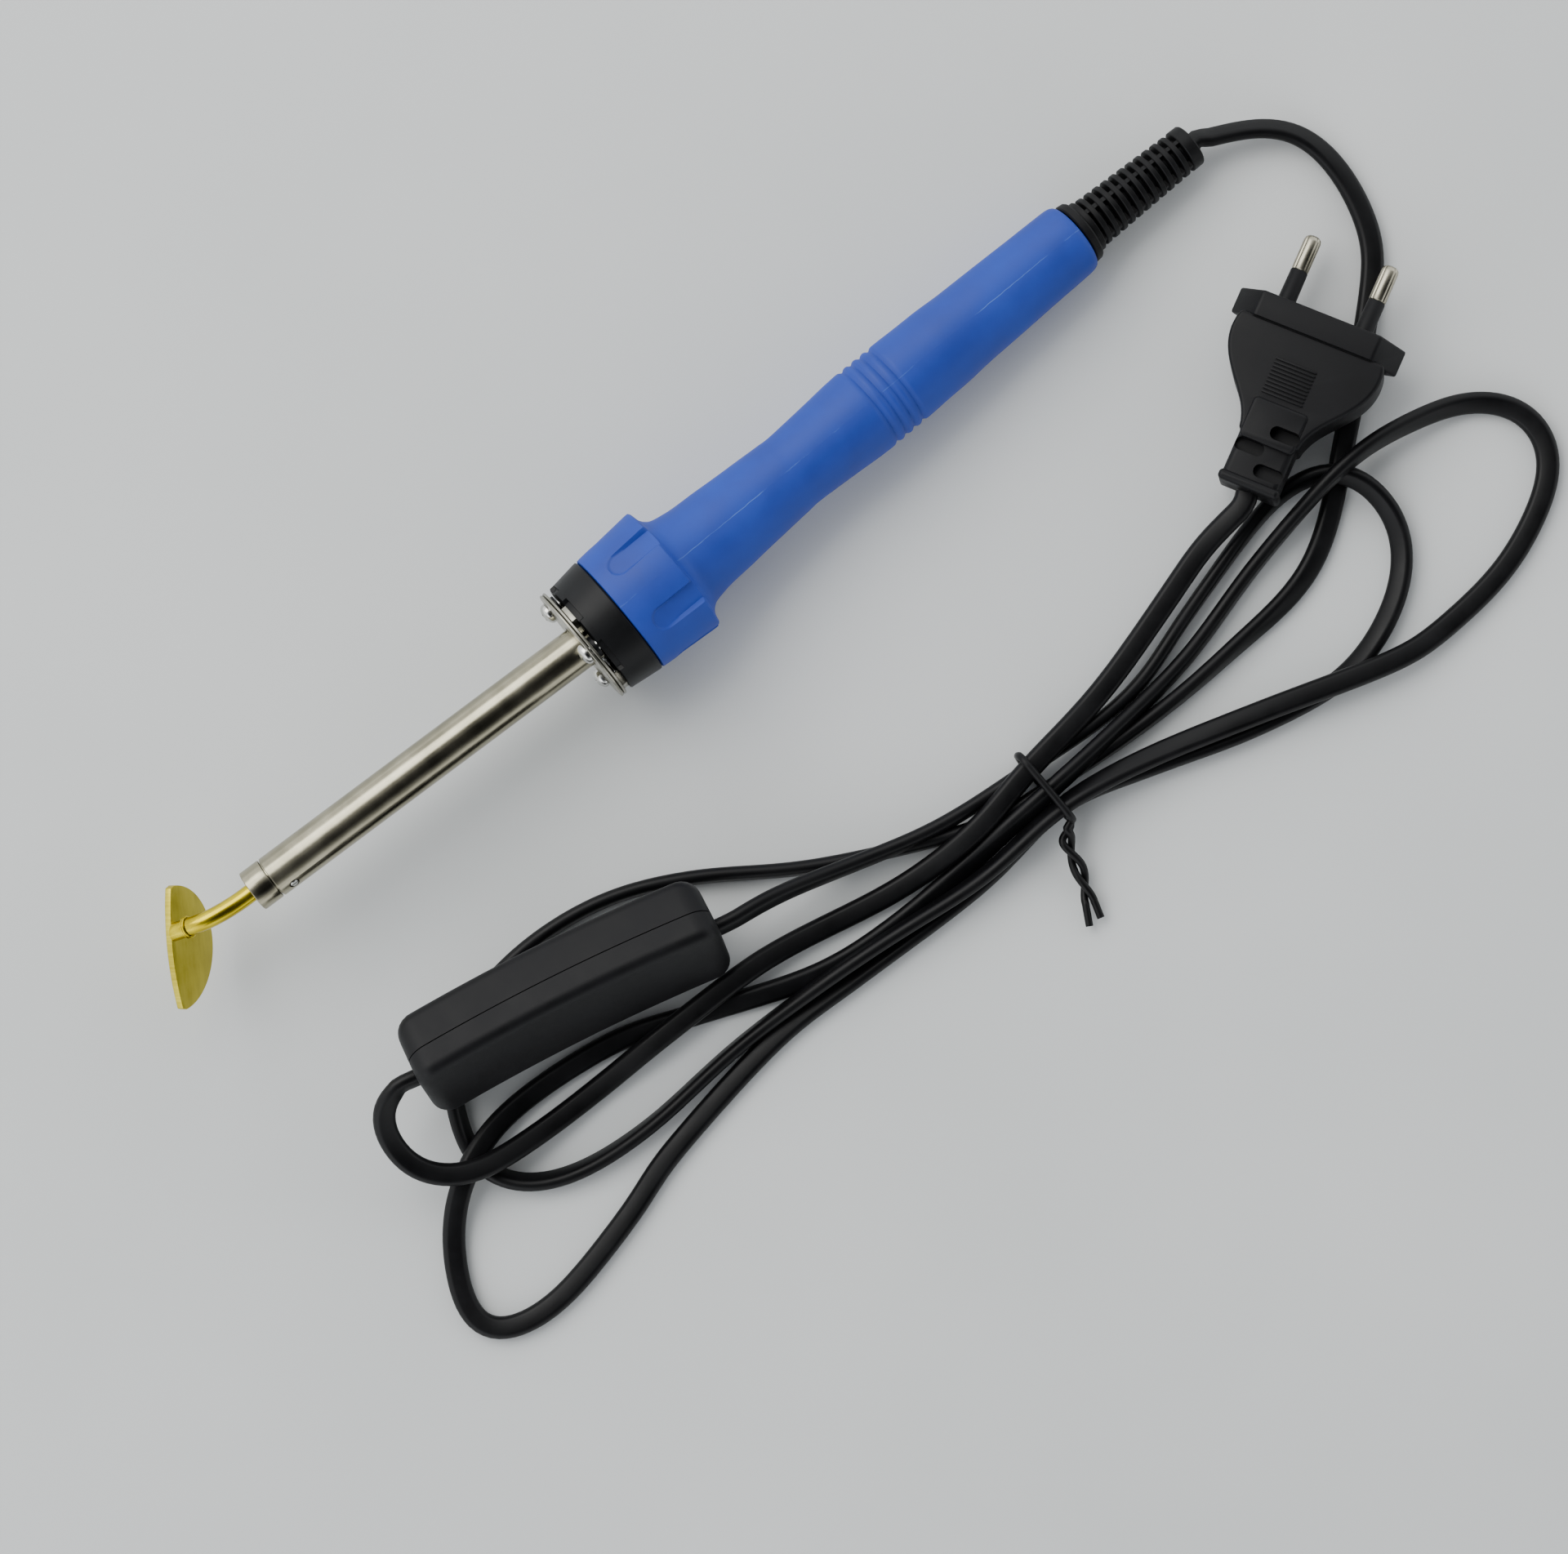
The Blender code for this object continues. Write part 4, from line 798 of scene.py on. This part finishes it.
mouth = Vector((-0.0915, 0, 0))
stub = ROD_END - ALONG * ROD_STUB
bend = bezier(mouth, mouth + Vector((-ROD_PULL, 0, 0)), stub - ALONG * ROD_PULL, stub, 40)
rod_line = [Vector((-0.0770, 0, 0)), Vector((-0.0800, 0, 0)), Vector((-0.0880, 0, 0))] + bend
root = ROD_END + ALONG * 0.0010
rod_line += [stub.lerp(root, k / 6) for k in range(1, 7)]
rod_section = circle(2.05, ROD_FACETS)
rod = swept("bent_brass_rod", rod_line, [Vector((0, 0.6, 0.8))] * len(rod_line), rod_section, BARREL)
near_face = BLADE_CENTRE - AHEAD * BLADE_HALF_THICK
for vert in rod.data.vertices[-ROD_FACETS:]:
    vert.co += ALONG * ((near_face - vert.co).dot(AHEAD) / ALONG.dot(AHEAD))
finished(rod, ROD_BRASS, body="bit", stands_for=["shank_rod"])

ring_frame = BARREL @ axes_matrix(ROD_END - ALONG * 0.0024, -ALONG, EDGE)
BEAD = [(0.0, 2.2), (0.0, 2.36), (0.12, 2.5), (0.30, 2.5), (0.40, 2.32), (0.50, 2.32), (0.60, 2.5),
        (0.78, 2.5), (0.9, 2.36), (0.9, 2.2)]
braze = turned("braze_beads", BEAD, ring_frame, segments=64, closed=True)
finished(braze, ROD_BRASS, body="bit", stands_for=["braze_ring"])


# %% Blade
def half_moon():
    radius, crown, ease_deg = 14.0, 1.8, 5.0
    crown_r = (radius**2 + crown**2) / (2 * crown)
    half = math.degrees(math.asin(radius / crown_r)) * 0.965
    rim = arc((0, 0), radius, 180 + ease_deg, 360 - ease_deg, 73)
    return rim + arc((0, crown - crown_r), crown_r, 90 - half, 90 + half, 41)


blade_frame = BARREL @ axes_matrix(BLADE_CENTRE, EDGE, AHEAD.cross(EDGE))
blade = slab("half_moon_blade", half_moon(), -0.8, 0.8, blade_frame, bevel=0.16, segments=3)
finished(blade, SHEET_BRASS, body="bit", stands_for=["creasing_blade"])
blade.data.materials.append(EDGE_BRASS)
for face in blade.data.polygons:
    face.material_index = 0 if abs(face.normal.z) > 0.9 else 1
print("blade faces:", len(blade.data.polygons))

# %% [markdown]
# ## The boot
#
# The boot is soft PVC with eleven ribs. Between the ribs it is open in windows, so that it bends, and four
# webs run along it. One turned mesh with a radius that falls in the windows gives that whole pattern.

# %% Cord boot
BOOT_RIBS = 11
BOOT_PITCH = 2.33
BOOT_TIP = 33.3
FIRST_RIB = 4.6
RIB_TAPER = 0.8
GAP = 4.1
WEB_TOP = 5.6
WINDOW_FLOOR = 3.3
WEB_TURN = 0.698


def boot_profile():
    points = [(0.0, 2.2), (0.0, 7.3), (0.35, 7.6), (1.7, 7.45), (2.1, 7.15), (2.2, 6.0), (2.3, 5.95),
              (2.4, 6.3), (3.5, 6.35), (3.75, 6.1), (3.85, GAP)]
    for k in range(BOOT_RIBS):
        x = FIRST_RIB + k * BOOT_PITCH
        top = 6.0 - RIB_TAPER * k / (BOOT_RIBS - 1)
        points += [(x - 0.02, GAP), (x, top - 0.12), (x + 0.15, top), (x + 1.05, top), (x + 1.2, top - 0.12),
                   (x + 1.22, GAP)]
    points += [(30.25, GAP), (30.3, 5.0), (30.5, 5.2), (32.9, 5.15), (33.2, 4.95)]
    return points + [(BOOT_TIP, 4.6), (BOOT_TIP, 2.2)]


def boot_radius(x, angle, radius):
    """Between the ribs the radius is a web's top, or a window's floor."""
    if radius != GAP:
        return radius
    row = max(0, min(10, round((x - FIRST_RIB) / BOOT_PITCH)))
    web = abs(math.sin(2 * angle - WEB_TURN)) > 0.955
    return WEB_TOP - RIB_TAPER * row / 10 if web else WINDOW_FLOOR


boot = turned("ribbed_cord_boot", boot_profile(), BOOT, segments=96, closed=True, swell=boot_radius, sharp=30)
finished(boot, BOOT_PVC, stands_for=["boot"])

# %% [markdown]
# ## The in-line switch
#
# Two ABS shells meet at a parting line that is nearer the back. The rocker pokes out of the shell that
# faces down. The block is a loft of rounded rectangles, split at the parting line, and then bowed a little
# along its length.


# %% Switch shells
def rounded_rectangle(length, width, radius, count=9):
    x, y = length / 2 - radius, width / 2 - radius
    return (arc((x, y), radius, 0, 90, count) + arc((-x, y), radius, 90, 180, count)
            + arc((-x, -y), radius, 180, 270, count) + arc((x, -y), radius, 270, 360, count))


def housing(name):
    """The whole closed block as a loft of rounded rectangles along X, drawn in at both ends."""
    half_wide, half_high, corner, rim = 12.75, 8.0, 4.6, 2.6
    straight = SWITCH_HALF - corner
    bends = (90, 84, 76, 66, 54, 40, 24, 8)
    stations = [SWITCH_HALF - corner * (1 - math.sin(math.radians(a))) for a in bends]
    stations += [straight - step for step in np.arange(0.6, straight, 3.2)]
    stations = sorted(stations + [-x for x in stations])
    verts, rows = [], []
    for x in stations:
        t = max(0.0, (abs(x) - straight) / corner)
        inset = 1 - math.sqrt(max(0.0, 1 - t * t))
        y, z = half_wide - corner * inset, half_high - rim * inset
        ring = rounded_rectangle(2 * y, 2 * z, rim, 7)
        rows.append(list(range(len(verts), len(verts) + len(ring))))
        verts += [(x * MM, a * MM, b * MM) for a, b in ring]
    faces = stitched(rows, False) + [tuple(reversed(rows[0])), tuple(rows[-1])]
    return new_piece(name, verts, faces, SWITCH)


def arched(obj, rise):
    """Bow the long sides towards the rocker, most in the middle."""
    for vert in obj.data.vertices:
        vert.co.z += rise * MM * (1 - (vert.co.x / (SWITCH_HALF * MM)) ** 2)
    return obj


def shell_half(name, low, high, *tools):
    """One half of the housing, cut off at the parting line."""
    half = housing(name)
    keep = slab("keep", [(-50, -30), (50, -30), (50, 30), (-50, 30)], low, high, SWITCH)
    cut(half, keep, operation="INTERSECT")
    if tools:
        cut(half, *tools)
    return arched(half, 1.5)


switch_back = shell_half("switch_back_shell", -9.0, -1.42)
finished(switch_back, SWITCH_ABS, stands_for=["switch_bottom_shell"])
window = slab("window", rounded_rectangle(23.2, 11.0, 0.8), 2.0, 12.0, SWITCH)
switch_front = shell_half("switch_rocker_shell", -1.18, 9.0, window)
finished(switch_front, SWITCH_ABS, stands_for=["switch_top_shell"])

# %% Rocker
ROCKER_REACH = 11.2
ROCKER_TOP = 5.2
crown = math.degrees(math.asin(ROCKER_TOP / ROCKER_REACH))
rocker_outline = arc((0, 0), ROCKER_REACH, crown, -12, 14) + [(8.0, -3.4), (-8.0, -3.4)]
rocker_outline += arc((0, 0), ROCKER_REACH, 192, 180 - crown, 14)
rocker_outline += [(x, ROCKER_TOP - 0.55 * (1 - (x / 10.1) ** 2)) for x in np.linspace(-9.2, 9.2, 15)]
upright = ROCKER @ Matrix.Rotation(math.pi / 2, 4, "X")
rocker = slab("rocker_button", rocker_outline, -5.1, 5.1, upright, bevel=0.45)
pin_way = ROCKER @ Matrix.Rotation(math.pi / 2, 4, "Z")
bore_tool = turned("bore", [(-8, 0), (-8, 1.3), (8, 1.3), (8, 0)], pin_way, segments=24)
cut(rocker, bore_tool)
finished(rocker, SWITCH_ABS, body="rocker", stands_for=["rocker"])

# %% [markdown]
# ## The plug
#
# The plug is moulded round its pins in one piece: a six-sided head, a pear-shaped grip, a ribbed thumb
# panel and a flexible relief with staggered slots. Each pin is rolled from strip, with a black sleeve at
# its root.

# %% Plug body
PIN_OFFSET = 9.3
PEAR = [(0.0, 17.0), (-2.0, 17.6), (-5.0, 17.7), (-8.0, 17.0), (-11.0, 15.5), (-14.0, 13.3), (-17.0, 10.8),
        (-20.0, 8.7), (-23.0, 7.4), (-25.0, 7.1)]
hexagon = [(7.0, 14.0), (0.0, 20.0), (-7.0, 14.0), (-7.0, -14.0), (0.0, -20.0), (7.0, -14.0)]
HEAD_FRAME = PLUG @ Matrix.Rotation(math.pi / 2, 4, "Y")
plug = slab("moulded_plug", hexagon, -3.0, 3.2, HEAD_FRAME, bevel=0.6, segments=3)
upper = profile_between([(x - 2.4, y) for x, y in PEAR], 0.9)
pear = slab("pear", [(x, -y) for x, y in reversed(upper)] + upper, -6.3, 6.3, PLUG, bevel=3.4, segments=6)


def plug_place(x, y):
    return PLUG @ Matrix.Translation((x * MM, y * MM, 0))


spine_block = slab("spine", rounded_rectangle(9.6, 13.0, 1.2), 4.0, 6.75, plug_place(-24.0, 0), bevel=0.6)
relief = slab("relief", rounded_rectangle(15.0, 13.4, 1.8), -4.6, 5.4, plug_place(-31.7, 0), 1.6, 4)
lip = slab("lip", rounded_rectangle(2.4, 14.4, 1.0), -5.2, 6.0, plug_place(-38.0, 0), bevel=1.0)
cut(plug, pear, spine_block, relief, lip, operation="UNION")
slots = []
for k, (x, y) in enumerate([(-25.4, -3.3), (-30.2, 3.2), (-34.4, -3.1)]):
    for tag, low in (("top", 3.1), ("under", -8.1)):
        outline = rounded_rectangle(3.1, 6.9, 1.5)
        slots.append(slab(f"slot_{k}_{tag}", outline, low, low + 5.0, plug_place(x, y)))
SOCKET = [(-1.2, 0), (-1.2, 2.3), (4, 2.3), (4, 0)]
for side in (1, -1):
    slots.append(turned(f"socket_{side}", SOCKET, plug_place(0, side * PIN_OFFSET), segments=32))
seam = slab("seam", [(-2.95, -21), (-2.65, -21), (-2.65, 21), (-2.95, 21)], 6.05, 8.0, PLUG)
cut(plug, *slots, seam)
finished(plug, PLUG_PVC, stands_for=["plug_body"])

# %% Thumb ribs
def joined(name, pieces, matrix):
    """One piece made of several, in the given frame."""
    verts, faces = [], []
    for piece in pieces:
        start = len(verts)
        to_frame = matrix.inverted() @ piece.matrix_world
        verts += [to_frame @ vert.co for vert in piece.data.vertices]
        faces += [tuple(start + k for k in face.vertices) for face in piece.data.polygons]
        bpy.data.objects.remove(piece, do_unlink=True)
    return new_piece(name, verts, faces, matrix)


for tag, low in (("top", 6.0), ("under", -6.8)):
    ribs = []
    for k in range(10):
        outline = rounded_rectangle(0.46, 9.8, 0.2, 3)
        ribs.append(slab(f"rib_{k}", outline, low, low + 0.8, plug_place(-9.9 - 0.88 * k, 0.8), 0.12, 2))
    finished(joined(f"thumb_ribs_{tag}", ribs, PLUG), PLUG_PVC)

# %% Pins
PIN = [(-1.1, 0), (-1.1, 1.3), (11.3, 1.3), (11.3, 1.85), (11.5, 2.0), (18.4, 2.0), (19.1, 1.8), (19.6, 1.2),
       (19.7, 0)]
SLEEVE = [(3.0, 1.5), (11.2, 1.5), (11.2, 1.9), (11.05, 2.0), (3.9, 2.1), (3.2, 2.35), (3.0, 2.6)]
METAL_FROM = 11.2
PIN_SEAMS = (0.9, 2.3, 4.4)


def rolled_pin(x, angle, radius):
    """Fine seams along the metal, where the strip was rolled to a tube."""
    if x < METAL_FROM:
        return radius
    offs = [(angle - at + math.pi) % (2 * math.pi) - math.pi for at in PIN_SEAMS]
    return radius * (1 - 0.10 * min(1.0, sum(math.exp(-((off / 0.10) ** 2)) for off in offs)))


for tag, side in (("left", 1), ("right", -1)):
    place = plug_place(0, side * PIN_OFFSET)
    pin = turned(f"rolled_pin_{tag}", PIN, place, segments=64, swell=rolled_pin, sharp=50)
    finished(pin, PIN_NICKEL, stands_for=[f"plug_pin_{tag}"])
    sleeve = turned(f"pin_root_sleeve_{tag}", SLEEVE, place, segments=48, closed=True)
    finished(sleeve, PLUG_PVC, stands_for=[f"pin_sleeve_{tag}"])

# %% [markdown]
# ## Hidden pieces
#
# The heater, the wiring and the switch's contacts stay as the CAD made them. They get real finishes too,
# because they show when the bush is drawn out or the rocker is turned.

# %% Finishes of the hidden pieces
CERAMIC = moulded_black("fired_ceramic", ("B9B2A2", "C9C3B4", "D8D3C6"), (0.55, 0.70), 0.3, 0.00002, 0.5)
MICA = moulded_black("rolled_mica", ("6A5A3C", "7C6B48", "8E7C58"), (0.35, 0.55), 0.8, 0.00002, 0.5)
COPPER = drawn_metal("tinned_copper_wire", ("9A5A3A", "B87048", "C88058"), (0.25, 0.40))
HIDDEN = {
    "heater_core": CERAMIC, "heater_winding": NICKEL, "mica_sleeve": MICA, "heater_lead_a": COPPER,
    "heater_lead_b": COPPER, "terminal_block": CERAMIC, "terminal_screw_a": ROD_BRASS,
    "terminal_screw_b": ROD_BRASS, "cord_clamp": ZINC, "inner_cord": CORD_PVC, "rocker_pin": NICKEL,
    "switch_contact_left": ROD_BRASS, "switch_contact_right": ROD_BRASS, "switch_bridge": ROD_BRASS,
    "switch_cord_anchor_left": SWITCH_ABS, "switch_cord_anchor_right": SWITCH_ABS,
}
for name, finish in HIDDEN.items():
    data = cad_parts[name].data
    for index in range(len(data.materials)):
        data.materials[index] = finish
print("hidden pieces finished:", len(HIDDEN))

# %% [markdown]
# ## Table and light
#
# A pale matt table and one large soft light from the far side give the soft shadow on the near side of each
# part. The room is pale all round except overhead, where someone leans over the table. That dark patch is
# what polished metal and black plastic show on top, so their colours stay deep.

# %% Table
TABLE_HALF = 3.0


def pale_table():
    mat, tree, shader = start_finish("pale_matt_table", IOR=1.45)
    where = local(tree)
    cloud = add_node(tree, "ShaderNodeTexNoise", {"Vector": where, "Scale": 9.0, "Detail": 4.0})
    grain = add_node(tree, "ShaderNodeTexNoise", {"Vector": where, "Scale": 700.0, "Detail": 3.0})
    colour = ramp(tree, cloud.outputs["Fac"], [(0.3, "D3D6D6"), (0.7, "DADCDC")])
    tree.links.new(colour, shader.inputs["Base Color"])
    tree.links.new(band(tree, cloud.outputs["Fac"], 0.3, 0.7, 0.60, 0.75), shader.inputs["Roughness"])
    bumped(tree, shader, grain.outputs["Fac"], 0.00002, 0.2)
    return mat


corners = [(x * TABLE_HALF, y * TABLE_HALF, 0.0) for x, y in ((-1, -1), (1, -1), (1, 1), (-1, 1))]
table = new_piece("table_top", corners, [(0, 1, 2, 3)], Matrix.Identity(4))
table.data.materials.append(pale_table())
table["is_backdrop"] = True


# %% Lights
def soft_light(name, place, target, size, power, colour):
    data = bpy.data.lights.new(name, "AREA")
    data.shape = "RECTANGLE"
    data.size, data.size_y = size
    data.energy = power
    data.color = linear(colour)[:3]
    light = bpy.data.objects.new(name, data)
    light.location = place
    light.rotation_euler = (Vector(target) - Vector(place)).to_track_quat("-Z", "Y").to_euler()
    bpy.context.scene.collection.objects.link(light)


soft_light("window_light", (-0.25, 0.95, 1.15), (0, 0, 0), (1.3, 1.0), 14.0, "FFFDF8")
soft_light("side_light", (-1.2, -0.5, 0.8), (0, 0, 0), (0.8, 0.8), 2.5, "F4F8FF")
world = bpy.data.worlds.new("studio")
bpy.context.scene.world = world
world.use_nodes = True
sky = world.node_tree
background = sky.nodes["Background"]
direction = add_node(sky, "ShaderNodeTexCoord")
person = Vector((0.05, -0.42, 0.90)).normalized()
facing_inputs = {0: direction.outputs["Generated"], 1: person}
facing = add_node(sky, "ShaderNodeVectorMath", facing_inputs, operation="DOT_PRODUCT")
open_sky = band(sky, facing.outputs["Value"], 0.62, 0.93, 1.0, 0.0)
room = ramp(sky, open_sky, [(0.0, "1C1D1F"), (0.6, "8A8C8E"), (1.0, "F4F6F8")])
sky.links.new(room, background.inputs["Color"])
background.inputs["Strength"].default_value = 1.75

low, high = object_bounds()
print("visual box in mm:", [round((b - a) * 1000, 1) for a, b in zip(low, high)])
